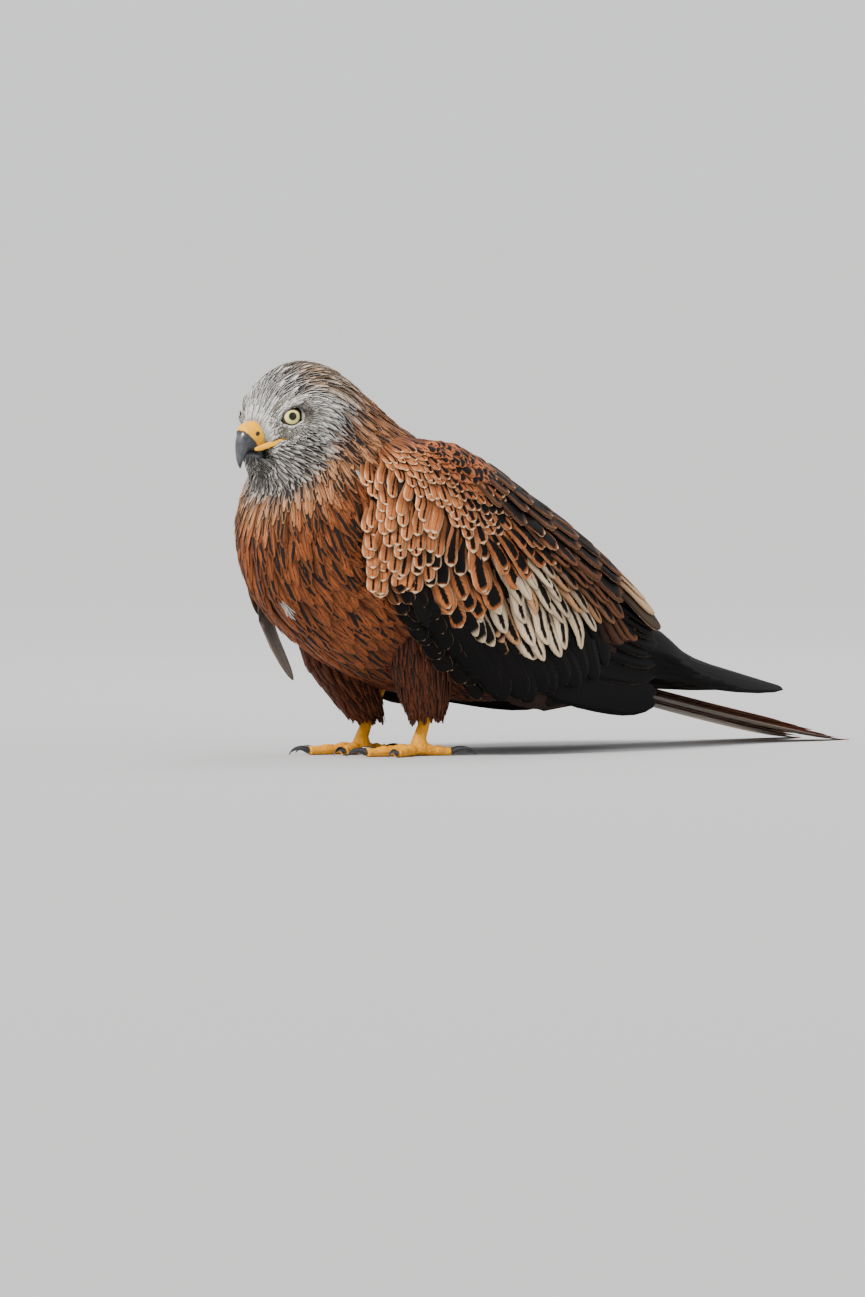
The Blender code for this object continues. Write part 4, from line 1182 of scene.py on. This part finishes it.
RIGHT_TIERS = [
    ("loose_1", 5, (-6, 88), (14, 98), (82, 52), (56, 67), 17, 25.0, tone(134, 123, 114), 0.0, 0.08),
    ("loose_2", 4, (-10, 88), (8, 100), (46, 64), (40, 80), 14, 23.0, tone(92, 74, 60), 0.25, 0.10),
    ("loose_3", 6, (-18, 88), (4, 108), (26, 70), (34, 96), 12, 19.2, RUFOUS_COVERT, 0.25, 0.20),
    ("loose_4", 6, (-26, 92), (-6, 112), (4, 78), (20, 104), 11, 17.6, RUFOUS_COVERT, 0.14, 0.20),
]
TIERS += list(tier_between("median", 4,
    (11, (48, 84), (108, 122), (84, 76), (142, 114), 15, 11.4, CREAM, 0.24, 0.0),
    (12, (80, 82), (166, 120), (116, 75), (214, 104), 14, 9.4, CREAM, 0.18, 0.0)))
TIERS += list(tier_between("lesser", 3,
    (8, (28, 82), (74, 121), (56, 75), (106, 117), 15.0, 12.6, RUFOUS_COVERT, 0.45, 0.2),
    (8, (44, 80), (92, 120), (74, 74), (126, 116), 16.0, 12.0, RUFOUS_COVERT, 0.55, 0.17)))
TIERS += list(tier_between("scapular", 6,
    (6, (2, 124), (34, 171), (52, 118), (78, 174), 20, 12.4, DARK_EDGE, 0.55, 0.13),
    (6, (122, 128), (140, 172), (212, 119), (214, 175), 29, 8.6, DARK_EDGE, 0.80, 0.08)))
FLIGHT = ("primary", "secondary", "tertial")


def fan(tier, side):
    """Centre lines, facing and widths of one tier's feathers on one side of the bird."""
    name, count, root_a, root_b, tip_a, tip_b, width, height = tier[:8]
    stations = LONG_STATIONS if name in FLIGHT else SHORT_STATIONS
    share = np.linspace(0, 1, count)[:, None]
    root = np.array(root_a) + (np.array(root_b) - root_a) * share
    tip = np.array(tip_a, float) + (np.array(tip_b) - np.array(tip_a, float)) * share
    loose = 1.0 if name in FLIGHT else 1.6
    tip[:, 0] += chance.normal(0, 1.8 * loose, count)
    tip[:, 1] += chance.normal(0, 0.6 * loose, count)
    bend = 1.35 if name == "primary" else 1.0
    low = arm_top(root[:, 0], root[:, 1]) - 0.5
    high = height + share * 0.5
    if name[:6] in ("lesser", "median"):
        floor = arm_top(tip[:, 0], tip[:, 1])[:, None] + 1.6
        high = np.maximum(high - 5.0 * step(share[:, 0], 0.3, 0.0), np.minimum(floor, high))

    def path(at, extra=0.0):
        along = root[:, :1] + (tip - root)[:, :1] * at
        angle = root[:, 1:] + (tip - root)[:, 1:] * np.abs(at) ** bend
        lift = low[:, None] + (high - low[:, None]) * np.minimum(1, 1.6 * np.maximum(at, 0))
        return mantle_surface(along, angle, lift + extra)

    middles = path(stations)
    run = unit(path(stations + 0.02) - path(stations - 0.02))
    out = unit(path(stations, 1.0) - path(stations, -1.0))
    down = unit(np.cross(run, out))
    gap = np.linalg.norm(middles[:-1, -2] - middles[1:, -2], axis=-1).mean()
    tilt = min(1.0 / max(gap, 3.0), 0.18)
    up = unit(np.cross(down + out * tilt, run))
    mirror = np.array([side, 1, 1])
    widths = width * chance.uniform(0.9, 1.1, count)
    return middles * mirror, up * mirror, widths, stations


def tier_look(label, tint, streak, fringe, count):
    """Tints and marks along a tier, from the leading edge to the bird's back."""
    share = np.linspace(0, 1, count)
    tints = tint * chance.uniform(0.88, 1.12, (count, 1))
    streaks = streak * chance.uniform(0.6, 1.4, count)
    fringes = np.full(count, float(fringe))
    if label.startswith("median"):
        brown = chance.random(count) < 0.3
        tints = tints * chance.uniform(0.8, 1.1, (count, 1))
        tints[brown] = tone(196, 146, 104)
        streaks = streaks * chance.choice([0.3, 1.5], count)
        inner = step(share, 0.62, 0.85)
        tints = tints + (DARK_EDGE * 1.25 - tints) * inner
        streaks = streaks + (0.45 - streaks) * inner[:, 0] + 0.7 * step(share, 0.2, 0.05)[:, 0]
    if label.startswith("lesser"):
        streaks = streaks + 0.5 * step(share, 0.3, 0.0)[:, 0] * (int(label[-1]) > 2)
        streaks = streaks + 0.25 * step(share, 0.7, 1.0)[:, 0]
        tints = tints * (1 - 0.3 * step(share, 0.75, 1.0))
    if label == "greater_covert":
        tints = tints + (DARK_EDGE - tints) * step(share, 0.72, 1.0)
        streaks = 0.5 * step(share, 0.72, 1.0)[:, 0]
    if label == "tertial":
        tints = tints + (SOOT - tints) * step(share, 0.3, 0.0) * 0.9
    return tints, np.stack([np.clip(streaks, 0, 0.86), fringes, chance.random(count)], -1)


def tier_feathers(tier, side, first, cells):
    """One tier as a mesh; its baking patches fill cells of a chessboard from the first."""
    label, count = tier[0], tier[1]
    middles, up, widths, stations = fan(tier, side)
    outline = NARROW_OUTLINE if label.startswith("median") else SHORT_OUTLINE
    long = label in FLIGHT
    tints, mark = tier_look(label, *tier[8:], count)
    number = first + np.arange(count)
    place = (np.stack([number % cells, number // cells], -1) + 0.5) / cells
    return feathers(label, middles, up, widths, LONG_OUTLINE if long else outline, stations, tints, mark,
                    place, WING_PLUMAGE, columns=7 if long else 5, arch=0.07, thick=0.04,
                    skew=0.18 * side if long else 0.0, patch=0.9 / cells)


def shoulder_coat(name, side):
    """Small coverts on the wrist, and long mantle feathers over the wing's upper edge."""
    thrown = chance.uniform((-46, 58), (100, 172), (9000, 2))
    fore = np.interp(thrown[:, 1], [76, 84, 116, 121, 128, 160, 172], [14, 26, 66, 60, 30, 46, 50])
    low = arm_edges(thrown[:, 0])[0]
    wanted = (thrown[:, 1] > low - 3) & ((thrown[:, 0] < fore) | (thrown[:, 1] < low + 7))
    wanted &= thrown[:, 0] > np.interp(thrown[:, 1], [108, 126, 142, 165], [-46, -36, -20, -8])
    roots = np.zeros((0, 2))
    for spot in thrown[wanted]:
        gap = np.interp(spot[0], [-46, 0, 60], [3.0, 4.2, 5.3])
        if not len(roots) or (np.hypot(*((roots - spot) * (1, 1.25)).T) > gap).all():
            roots = np.append(roots, [spot], 0)
    fore = np.interp(roots[:, 1], [76, 84, 116, 121, 128, 160, 172], [14, 26, 66, 60, 30, 46, 50])
    edge = roots[:, 0] >= fore
    count = len(roots)
    back = step(roots[:, 1], 112, 136)[:, 0]
    front = step(roots[:, 0], 0, -30)[:, 0]
    onward = step(roots[:, 0], 0, 60)[:, 0]
    length = (15 - 4 * front + 5 * onward + 8 * back) * chance.uniform(0.88, 1.12, count)
    drift = np.interp(roots[:, 1], [80, 100, 130, 160], [-0.6, -0.38, -0.14, 0.0])
    drift = np.where(edge, -0.2, drift)
    drift = drift + chance.normal(0, 0.06, count)
    at = SHORT_STATIONS
    along = roots[:, :1] + (length / np.hypot(1, drift))[:, None] * at
    angle = roots[:, 1:] + (length * drift)[:, None] * at
    upper_edge = arm_edges(along)[1]
    on_arm = (step(along, -46, -33) * step(angle, upper_edge + 12, upper_edge))[..., 0]
    ground = (arm_top(along, angle) + 0.6) * on_arm - 0.6
    lift = ground - 0.8 + (3.0 * chance.uniform(0.85, 1.15, (count, 1))) * at**0.7
    mirror = np.array([side, 1, 1])
    middles = mantle_surface(along, angle, lift) * mirror
    up = unit(middles - mantle_surface(along, angle, lift - 5) * mirror)
    up = unit(up + unit(np.cross(np.gradient(middles, axis=1), up)) * 0.14 * side)
    upper = step(roots[:, 1], 96, 124)
    tint = RUFOUS_COVERT + (tone(124, 72, 44) - RUFOUS_COVERT) * upper
    nape = step(roots[:, 1], 104, 116) * step(roots[:, 0], 30, 0)
    tint = tint + (tone(168, 96, 56) - tint) * nape
    dark = step(roots[:, 0], -6, 34) * edge[:, None]
    tint = (tint + (SOOT - tint) * dark) * chance.uniform(0.82, 1.18, (count, 1))
    under = step(roots[:, 0], 2, 26)[:, 0] * step(roots[:, 1], 98, 86)[:, 0]
    hearts = 0.14 + 0.3 * onward + 0.42 * upper[:, 0] + 0.5 * under
    streaks = hearts * chance.choice([0.35, 1.3], count, p=[0.35, 0.65])
    pale = (0.30 - 0.12 * upper[:, 0] - 0.10 * nape[:, 0]) * (1 - 0.7 * dark[:, 0])
    mark = np.stack([np.clip(streaks, 0, 0.8), pale, chance.random(count)], -1)
    place = 0.02 + 0.96 * np.stack([roots[:, 1] / 180, (roots[:, 0] + 40) / 110], -1)
    width = (9.6 - 1.4 * front + 2.6 * onward + 1.5 * back) * chance.uniform(0.9, 1.1, count)
    piece = feathers("shoulder_" + name, middles, up, width, SHORT_OUTLINE, at, tint, mark, place,
                     WING_PLUMAGE, columns=5, arch=0.07, thick=0.04)


def joined(pieces, name):
    clear_selection()
    for piece in pieces:
        piece.select_set(True)
    bpy.context.view_layer.objects.active = pieces[0]
    bpy.ops.object.join()
    pieces[0].name = name
    return pieces[0]


def wing(name, side):
    arm = wing_arm(name)
    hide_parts("wing_" + name)
    for label, tiers in (
        ("flight", [t for t in TIERS if t[0] in FLIGHT]),
        ("coverts", [t for t in TIERS if t[0] not in FLIGHT]),
    ):
        tiers = tiers + (RIGHT_TIERS if (name, label) == ("right", "coverts") else [])
        total = sum(tier[1] for tier in tiers)
        cells, first, made = math.ceil(math.sqrt(total)), 0, []
        for tier in tiers:
            made.append(tier_feathers(tier, side, first, cells))
            first += tier[1]
        piece = joined(made, f"wing_{label}_{name}")
    shoulder_coat(name, side)


for name, side in SIDES.items():
    wing(name, side)

# %% [markdown]
# ## The tail
# A kite's tail is long and forked: six feathers each side, the middle pair on top and
# shortest. Seen from above it is rufous, and from below pale grey with dark shafts, so each
# feather takes one tint for its upper face and another for its lower. It rests on the floor
# at its end, as the bird's tail would on level ground.
# %% Tail feathers
TAIL_ROOT, TAIL_REACH, TAIL_FORK = (100, 70), 308, 46
TAIL_FEATHERS, TAIL_WIDTH, TAIL_LAYER, VANE = 6, 25, 1.25, 0.7
TAIL_STATIONS = np.array([0, 0.12, 0.25, 0.38, 0.5, 0.62, 0.73, 0.82, 0.89, 0.94, 0.975, 0.995])
TAIL_OUTLINE = np.interp(TAIL_STATIONS, [0, 0.3, 0.6, 0.88, 0.965, 1], [0.35, 0.66, 0.88, 1, 0.7, 0.2])
TAIL_TOP, TAIL_UNDER = tone(176, 104, 62), tone(206, 192, 176)


def tail_height(y):
    """How high above the floor the tail's lowest layer lies."""
    part = (y - TAIL_ROOT[0]) / TAIL_REACH
    return (TAIL_ROOT[1] - 6) * np.maximum(0, 1 - part / 0.97) ** 1.12 + VANE / 2


def tail_half(side):
    order = np.arange(TAIL_FEATHERS)[:, None]
    outer = order / (TAIL_FEATHERS - 1)
    part = TAIL_STATIONS
    y = TAIL_ROOT[0] + (TAIL_REACH - TAIL_FORK * (1 - outer) ** 1.3) * part
    x = 2.5 + 1.4 * order + (0.5 + 2.9 * order) * part**0.8
    lift = (TAIL_FEATHERS - 1 - order) * TAIL_LAYER + np.where((side > 0) & (order < 3), 0.55, 0)
    z = tail_height(y) + lift + 0 * part
    return np.stack([x * side, y, z], -1)


def tail():
    middles = np.concatenate([tail_half(1), tail_half(-1)])
    count = len(middles)
    up = np.zeros_like(middles)
    up[..., 2] = 1
    tint = TAIL_TOP * chance.uniform(0.92, 1.08, (count, 1))
    under = TAIL_UNDER * chance.uniform(0.94, 1.06, (count, 1))
    mark = np.stack([np.zeros(count), np.full(count, 0.08), chance.random(count)], -1)
    number = np.arange(count)
    place = (np.stack([number % 4, number // 4], -1) + 0.5) / 4
    piece = feathers("tail_vanes", middles, up, np.full(count, float(TAIL_WIDTH)), TAIL_OUTLINE,
                     TAIL_STATIONS, tint, mark, place, TAIL_PLUMAGE, columns=7, arch=0.03,
                     thick=0.03, patch=0.22, under=under)
    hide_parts("tail")


def tail_coverts():
    """Feathers that carry the rump's coat over the root of the tail."""
    count = 64
    root = body_surface(BODY.length_at(chance.uniform(10.6, 11.9, count)), chance.uniform(112, 248, count), 0.4)
    tip = root * np.array([1.1, 1, 1]) + np.array([0, 1, 0]) * chance.uniform(34, 54, (count, 1))
    tip[:, 2] = tail_height(tip[:, 1]) + TAIL_FEATHERS * TAIL_LAYER + chance.uniform(0.6, 2.6, count)
    at = BODY_STATIONS
    middles = root[:, None] + (tip - root)[:, None] * at[:, None]
    middles[..., 2] += 4.0 * np.sin(np.pi * at)
    up = np.zeros_like(middles)
    up[..., 2] = 1
    tint = RUMP * chance.uniform(0.75, 1.1, (count, 1))
    mark = np.stack([chance.uniform(0.1, 0.4, count), np.full(count, 0.14), chance.random(count)], -1)
    piece = feathers("tail_coverts", middles, up, chance.uniform(8.0, 11.0, count), LANCE, BODY_STATIONS,
                     tint, mark, bake_place(root[:, :2]), BODY_PLUMAGE)


tail()
tail_coverts()

# %% [markdown]
# ## Drawing out the bare parts
# Bill, claws and lids are horn and skin, smooth forms with no feathers to hide behind. The
# bill's two halves and the cere are drawn out like a stalk of clay: a disc is extruded section
# by section, and each new section is turned and resized. A section is given by its lowest and
# highest point in the middle plane and by half its width, as the solids' rows are, so the shapes agree.
# %% Sections by extrusion
def drawn(name, rows, sides=20, levels=1):
    """A closed loft through rows of (y, z of the low point, y, z of the high one, half width)."""
    rows = np.array(rows, float)
    centres = metres(np.stack([0 * rows[:, 0], (rows[:, 0] + rows[:, 2]) / 2, (rows[:, 1] + rows[:, 3]) / 2], -1))
    tall = rows[:, 2:4] - rows[:, 0:2]
    lean = np.unwrap(np.arctan2(tall[:, 1], tall[:, 0]))
    deep = np.hypot(tall[:, 0], tall[:, 1]) / 2000
    wide = rows[:, 4] / 1000
    clear_selection()
    bpy.ops.mesh.primitive_circle_add(vertices=sides, radius=1, fill_type="NGON",
                                      location=centres[0], rotation=(lean[0], 0, 0))
    piece = bpy.context.object
    piece.name = name
    bpy.ops.object.mode_set(mode="EDIT")
    bpy.ops.mesh.select_all(action="SELECT")
    bpy.ops.transform.resize(value=(wide[0], deep[0], deep[0]), center_override=centres[0])
    for k in range(1, len(rows)):
        bpy.ops.mesh.extrude_region_move(
            TRANSFORM_OT_translate={"value": centres[k] - centres[k - 1]})
        bpy.ops.transform.rotate(value=-(lean[k] - lean[k - 1]), orient_axis="X",
                                 center_override=centres[k])
        deeper = deep[k] / deep[k - 1]
        bpy.ops.transform.resize(value=(wide[k] / wide[k - 1], deeper, deeper),
                                 center_override=centres[k])
    bpy.ops.mesh.select_all(action="SELECT")
    bpy.ops.mesh.normals_make_consistent(inside=False)
    bpy.ops.object.mode_set(mode="OBJECT")
    bpy.ops.object.transform_apply(location=True, rotation=True, scale=True)
    applied(piece, "SUBSURF", levels=levels, render_levels=levels)
    piece.data.shade_smooth()
    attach(piece, "root")
    low = np.min([v.co for v in piece.data.vertices], 0)
    high = np.max([v.co for v in piece.data.vertices], 0)
    print(name, "is", np.round((high - low) * 1000, 1), "mm")
    return piece


# %% [markdown]
# ## The bill and the cere
# The upper bill is horn that hooks down over the lower one, blue-black and polished by use.
# Its base is covered by the cere, a soft waxy yellow skin that holds the nostril, and
# the horn runs back under it along the cutting edge. One recipe for the cere therefore mixes
# yellow skin and horn on two sides of a slanting line.
# %% Horn and wax
def horn_finish(name, dark, light):
    r = Recipe(name, Roughness=0.3, Specular_IOR_Level=0.5, Coat_Weight=0.25, Coat_Roughness=0.15)
    streaks = r.noise(1.0, 4.0, r.put("Mapping", {0: r.places(), 3: (900, 260, 260)}).outputs[0])
    clouds = r.noise(160.0, 2.0)
    r.bump(streaks, 0.00012, 0.4)
    mixed = r.mix(r.ramp(clouds, 0.35, 0.68), (*dark, 1), (*light, 1))
    return r.colour(r.mix(r.sum("MULTIPLY", streaks, 0.25), mixed, (*light, 1)))


BILL_HORN = horn_finish("bill_horn", tone(27, 28, 32), tone(72, 73, 78))
CLAW_HORN = horn_finish("claw_horn", tone(16, 15, 17), tone(46, 45, 48))


def cere_finish(name, slanted):
    """Yellow waxy skin; where it is slanted, horn shows below a line on the bill's side."""
    r = Recipe(name, Roughness=0.45, Specular_IOR_Level=0.25, Subsurface_Weight=0.1, Subsurface_Scale=0.002)
    wrinkles = r.noise(1500.0, 3.0)
    clouds = r.noise(260.0, 3.0)
    r.bump(r.sum("ADD", wrinkles, clouds), 0.0003, 0.55)
    skin_tint = r.mix(clouds, (*tone(222, 136, 0), 1), (*tone(250, 192, 8), 1))
    skin_tint = r.mix(r.ramp(wrinkles, 0.35, 0.2), skin_tint, (*tone(150, 96, 34), 1))
    if slanted:
        at = r.put("SeparateXYZ", {0: r.places()}).outputs
        line_y, line_z = metres((0, -126.4, 213.2))[1:]
        above = r.sum("ADD", r.sum("SUBTRACT", at[2], line_z), r.sum("SUBTRACT", at[1], line_y))
        above = r.sum("ADD", above, r.sum("MULTIPLY_ADD", clouds, 0.002, -0.001))
        skin_tint = r.mix(r.ramp(above, 0.0004, -0.0006), skin_tint, (*tone(60, 62, 66), 1))
        pale = r.ramp(at[1], line_y + 0.002, line_y + 0.010)
        skin_tint = r.mix(pale, skin_tint, (*tone(214, 206, 150), 1))
    return r.colour(skin_tint)


BEAK_ROWS = [
    (-135.0, 196.2, -135.6, 196.8, 0.4),
    (-134.4, 198.4, -137.2, 199.4, 1.1),
    (-133.6, 201.0, -138.4, 202.6, 2.0),
    (-132.2, 204.0, -138.6, 208.4, 3.4),
    (-131.0, 206.4, -138.2, 214.6, 4.7),
    (-129.6, 207.8, -136.6, 220.0, 5.8),
    (-127.8, 208.3, -133.6, 224.6, 6.7),
    (-124.6, 208.5, -129.6, 227.2, 7.4),
    (-118.0, 208.5, -119.0, 228.2, 7.8),
]
CERE_ROWS = [
    (-129.4, 209.0, -136.4, 222.4, 5.6),
    (-128.6, 208.2, -135.4, 224.6, 6.9),
    (-126.6, 207.6, -132.4, 227.2, 8.0),
    (-123.4, 207.4, -127.4, 228.8, 8.7),
    (-118.6, 207.6, -120.2, 229.2, 9.2),
    (-115.0, 208.0, -116.2, 228.6, 9.0),
]
LOWER_ROWS = [
    (-133.0, 204.4, -133.4, 205.8, 1.0),
    (-131.6, 202.8, -132.0, 207.4, 2.8),
    (-129.0, 201.6, -129.2, 208.2, 4.2),
    (-125.0, 200.8, -125.0, 208.6, 5.2),
    (-113.0, 199.6, -113.0, 209.0, 6.6),
]
bill = drawn("bill_upper_horn", BEAK_ROWS, sides=24)
lower = drawn("bill_lower_horn", LOWER_ROWS)
cere = drawn("cere_skin", CERE_ROWS, sides=24, levels=2)
bill.data.materials.append(BILL_HORN)
lower.data.materials.append(BILL_HORN)
cere.data.materials.append(cere_finish("cere_wax", True))
for piece, node, slot in ((bill, "bill_upper", "horn"), (lower, "bill_lower", "horn"), (cere, "cere", "yellow_skin")):
    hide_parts(node)

# %% [markdown]
# ## Nostrils and gape
# The nostril is a slanting oval with a raised rim, and the gape is the fold of yellow skin
# that runs from the bill's corner to below the eye. A flattened near-black oval of painted
# shade for the hole makes the first, and a thin stalk drawn through seven places the second.
# %% Nostril and gape
YELLOW_SKIN = cere_finish("yellow_skin", False)
# Painted shade: the nostril is a near-black oval that stands in for the shadow inside its opening.
NOSTRIL_SHADE = Recipe("nostril_painted_shade", Roughness=0.6)
NOSTRIL_SHADE.colour(NOSTRIL_SHADE.mix(NOSTRIL_SHADE.noise(2000.0), (0.012, 0.008, 0.006, 1), (0.03, 0.018, 0.012, 1)))

def face_skin(name, side):
    mirror = np.array([side, 1, 1])
    clear_selection()
    bpy.ops.mesh.primitive_uv_sphere_add(
        segments=16, ring_count=10, radius=0.0016, scale=(0.5, 1.2, 0.95),
        location=metres(np.array([8.0, -126.6, 220.2]) * mirror), rotation=(0.5, 0, 0))
    pit = bpy.context.object
    pit.name = "nostril_" + name
    bpy.ops.object.transform_apply(location=True, rotation=True, scale=True)
    pit.data.shade_smooth()
    pit.data.materials.append(NOSTRIL_SHADE.material)
    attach(pit, "root")
    places = metres(np.array([p for p, _ in GAPE]) * mirror)
    sizes = np.array([s for _, s in GAPE]) / 1000
    clear_selection()
    bpy.ops.mesh.primitive_circle_add(vertices=10, radius=sizes[0], fill_type="NGON",
                                      location=places[0], rotation=(math.pi / 2, 0, 0.6 * side))
    gape = bpy.context.object
    gape.name = "gape_" + name
    bpy.ops.object.mode_set(mode="EDIT")
    bpy.ops.mesh.select_all(action="SELECT")
    for k in range(1, len(places)):
        bpy.ops.mesh.extrude_region_move(TRANSFORM_OT_translate={"value": places[k] - places[k - 1]})
        bpy.ops.transform.resize(value=[sizes[k] / sizes[k - 1]] * 3, center_override=places[k])
    bpy.ops.mesh.select_all(action="SELECT")
    bpy.ops.mesh.normals_make_consistent(inside=False)
    bpy.ops.object.mode_set(mode="OBJECT")
    bpy.ops.object.transform_apply(location=True, rotation=True, scale=True)
    applied(gape, "SUBSURF", levels=1, render_levels=1)
    gape.data.shade_smooth()
    gape.data.materials.append(YELLOW_SKIN)
    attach(gape, "root")


for name, side in SIDES.items():
    face_skin(name, side)

# %% [markdown]
# ## The eyes
# A kite's iris is pale cream-yellow with a black pupil and a dark ring at its rim, under a
# wet clear cornea. The eye is a ball, and its recipe measures how far each point turns from
# the way the eye looks, so the pupil and the rings are true circles on it. A thin clear coat
# on the shader gives the wet shine.
# %% Eyes
EYE_RADIUS = 8.0


def eye_finish(name, side):
    look = EYE_LOOK * (side, 1, 1)
    centre = metres(EYE_CENTRE * (side, 1, 1))
    r = Recipe(name, Roughness=0.25, Specular_IOR_Level=0.2, Coat_Weight=0.35, Coat_Roughness=0.03)
    off = r.put("VectorMath", {0: r.places(), 1: tuple(centre)}, operation="SUBTRACT").outputs[0]
    off = r.put("VectorMath", {0: off}, operation="NORMALIZE").outputs[0]
    turn = r.put("VectorMath", {0: off, 1: tuple(look)}, operation="DOT_PRODUCT").outputs["Value"]
    turn = r.sum("ARCCOSINE", turn)
    threads = r.noise(900.0, 3.0)
    iris = r.mix(threads, (*tone(212, 204, 112), 1), (*tone(236, 230, 160), 1))
    iris = r.mix(r.ramp(turn, 0.42, 0.33), iris, (*tone(196, 186, 96), 1))
    iris = r.mix(r.ramp(turn, 0.60, 0.69), iris, (*tone(160, 142, 64), 1))
    iris = r.mix(r.ramp(turn, 0.68, 0.74), iris, (*tone(26, 18, 14), 1))
    return r.colour(r.mix(r.ramp(turn, 0.33, 0.30), iris, (0.002, 0.002, 0.002, 1)))


# %% [markdown]
# ## The lids and the brow
# Dark bare skin rings the eye, drawn out to a point in front and behind, and the upper lid is
# pressed flat by the brow, which makes the stern look. The lid starts as a ring primitive
# laid round the ball, and its points are moved to an almond: wider than tall, flat on top.
# %% Lids
LID_SKIN = Recipe("lid_skin_dark", Roughness=0.5, Specular_IOR_Level=0.35)
lid_noise = LID_SKIN.noise(1400.0, 3.0)
LID_SKIN.bump(lid_noise, 0.0003, 0.6)
LID_SKIN.colour(LID_SKIN.mix(lid_noise, (*tone(18, 13, 11), 1), (*tone(62, 44, 31), 1)))


def eye(name, side):
    centre, look, back_way, up_way = eye_frame(side)
    turned = Vector(look).to_track_quat("Z", "Y")
    clear_selection()
    bpy.ops.mesh.primitive_uv_sphere_add(segments=48, ring_count=32, radius=EYE_RADIUS / 1000,
                                         location=metres(centre), rotation=turned.to_euler())
    ball = bpy.context.object
    ball.name = "eyeball_" + name
    bpy.ops.object.transform_apply(location=True, rotation=True, scale=True)
    front = metres(centre + look * EYE_RADIUS)
    for vertex in ball.data.vertices:
        vertex.select = (vertex.co - Vector(front)).length < 0.0004
    bpy.ops.object.mode_set(mode="EDIT")
    bpy.ops.transform.translate(value=look * 0.0008, use_proportional_edit=True,
                                proportional_edit_falloff="SMOOTH", proportional_size=0.0068)
    bpy.ops.object.mode_set(mode="OBJECT")
    print(name, "cornea stands", round(max((v.co - Vector(metres(centre))).length for v in ball.data.vertices) * 1000, 2), "mm out")
    ball.data.shade_smooth()
    ball.data.materials.append(eye_finish("eye_surface_" + name, side))
    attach(ball, "root")
    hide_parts("eye_" + name)

    clear_selection()
    bpy.ops.mesh.primitive_torus_add(major_segments=48, minor_segments=12, major_radius=1.0, minor_radius=0.2)
    lid = bpy.context.object
    lid.name = "lids_" + name
    ring = np.array([v.co for v in lid.data.vertices])
    turn = np.arctan2(ring[:, 1], ring[:, 0])
    round_it = (np.hypot(ring[:, 0], ring[:, 1]) - 1.0) * 5
    corner = np.abs(np.cos(turn)) ** 5 * np.where(np.cos(turn) < 0, 0.35, 1.0)
    thick = np.where(np.sin(turn) > 0, 1.5, 1.1) + 1.1 * corner
    over = (6.7 + 1.9 * corner + round_it * thick) * np.cos(turn)
    rise = (np.where(np.sin(turn) > 0, 5.3, 6.3) + round_it * thick) * np.sin(turn)
    deep = np.sqrt(np.maximum(EYE_RADIUS**2 - over**2 - rise**2, 3.0))
    places = centre + look * (deep + ring[:, 2] * 5 * 0.7 + 0.55)[:, None]
    places = places + back_way * over[:, None] + up_way * rise[:, None]
    lid.data.vertices.foreach_set("co", metres(places).astype(np.float32).ravel())
    bpy.ops.object.mode_set(mode="EDIT")
    bpy.ops.mesh.select_all(action="SELECT")
    bpy.ops.mesh.normals_make_consistent(inside=False)
    bpy.ops.object.mode_set(mode="OBJECT")
    applied(lid, "SUBSURF", levels=1, render_levels=1)
    lid.data.shade_smooth()
    lid.data.materials.append(LID_SKIN.material)
    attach(lid, "root")
    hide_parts("eyelid_" + name)


for name, side in SIDES.items():
    eye(name, side)

# %% [markdown]
# ## Feet and claws
# The leg below the trousers is bare, yellow and covered in scales: small round ones on the
# sides and a row of broad plates down the top of each toe. The solids already have the right
# shape, so the foot and the leg are copied, fused by a fine Remesh and smoothed, and a cell
# pattern in the finish draws the scales. The claws are black horn with a dull shine.
# %% Feet
def scale_finish():
    r = Recipe("scaled_skin", Roughness=0.45, Specular_IOR_Level=0.4, Subsurface_Weight=0.1, Subsurface_Scale=0.002)
    cells = r.put("TexVoronoi", {"Vector": r.places(), "Scale": 760.0}, feature="DISTANCE_TO_EDGE").outputs[0]
    crease = r.ramp(cells, 0.16, 0.02)
    clouds = r.noise(220.0, 3.0)
    r.bump(r.ramp(cells, 0.0, 0.3), 0.0007, 0.8)
    base = r.mix(clouds, (*tone(236, 140, 0), 1), (*tone(255, 190, 20), 1))
    return r.colour(r.mix(r.sum("MULTIPLY", crease, 0.35), base, (*tone(150, 84, 10), 1)))


SCALED_SKIN = scale_finish()


def foot(name):
    made = [copied(node, "foot") for node in ("foot_" + name, "tarsus_" + name)]
    piece = joined(made, "foot_skin_" + name)
    applied(piece, "REMESH", mode="VOXEL", voxel_size=0.0007)
    applied(piece, "SMOOTH", factor=0.5, iterations=4)
    piece.data.shade_smooth()
    piece.data.materials.clear()
    piece.data.materials.append(SCALED_SKIN)
    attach(piece, "root")
    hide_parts("foot_" + name, "tarsus_" + name)
    for toe in ("inner", "middle", "outer", "hind"):
        node = f"claw_{name}_{toe}"
        claw = copied(node, "horn_" + node)
        applied(claw, "REMESH", mode="VOXEL", voxel_size=0.00045)
        applied(claw, "SMOOTH", factor=0.5, iterations=3)
        claw.data.shade_smooth()
        claw.data.materials.clear()
        claw.data.materials.append(CLAW_HORN)
        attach(claw, "root")
        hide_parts(node)


for name in SIDES:
    foot(name)

print("cad box", [tuple(round(v, 4) for v in p) for p in cad_box])
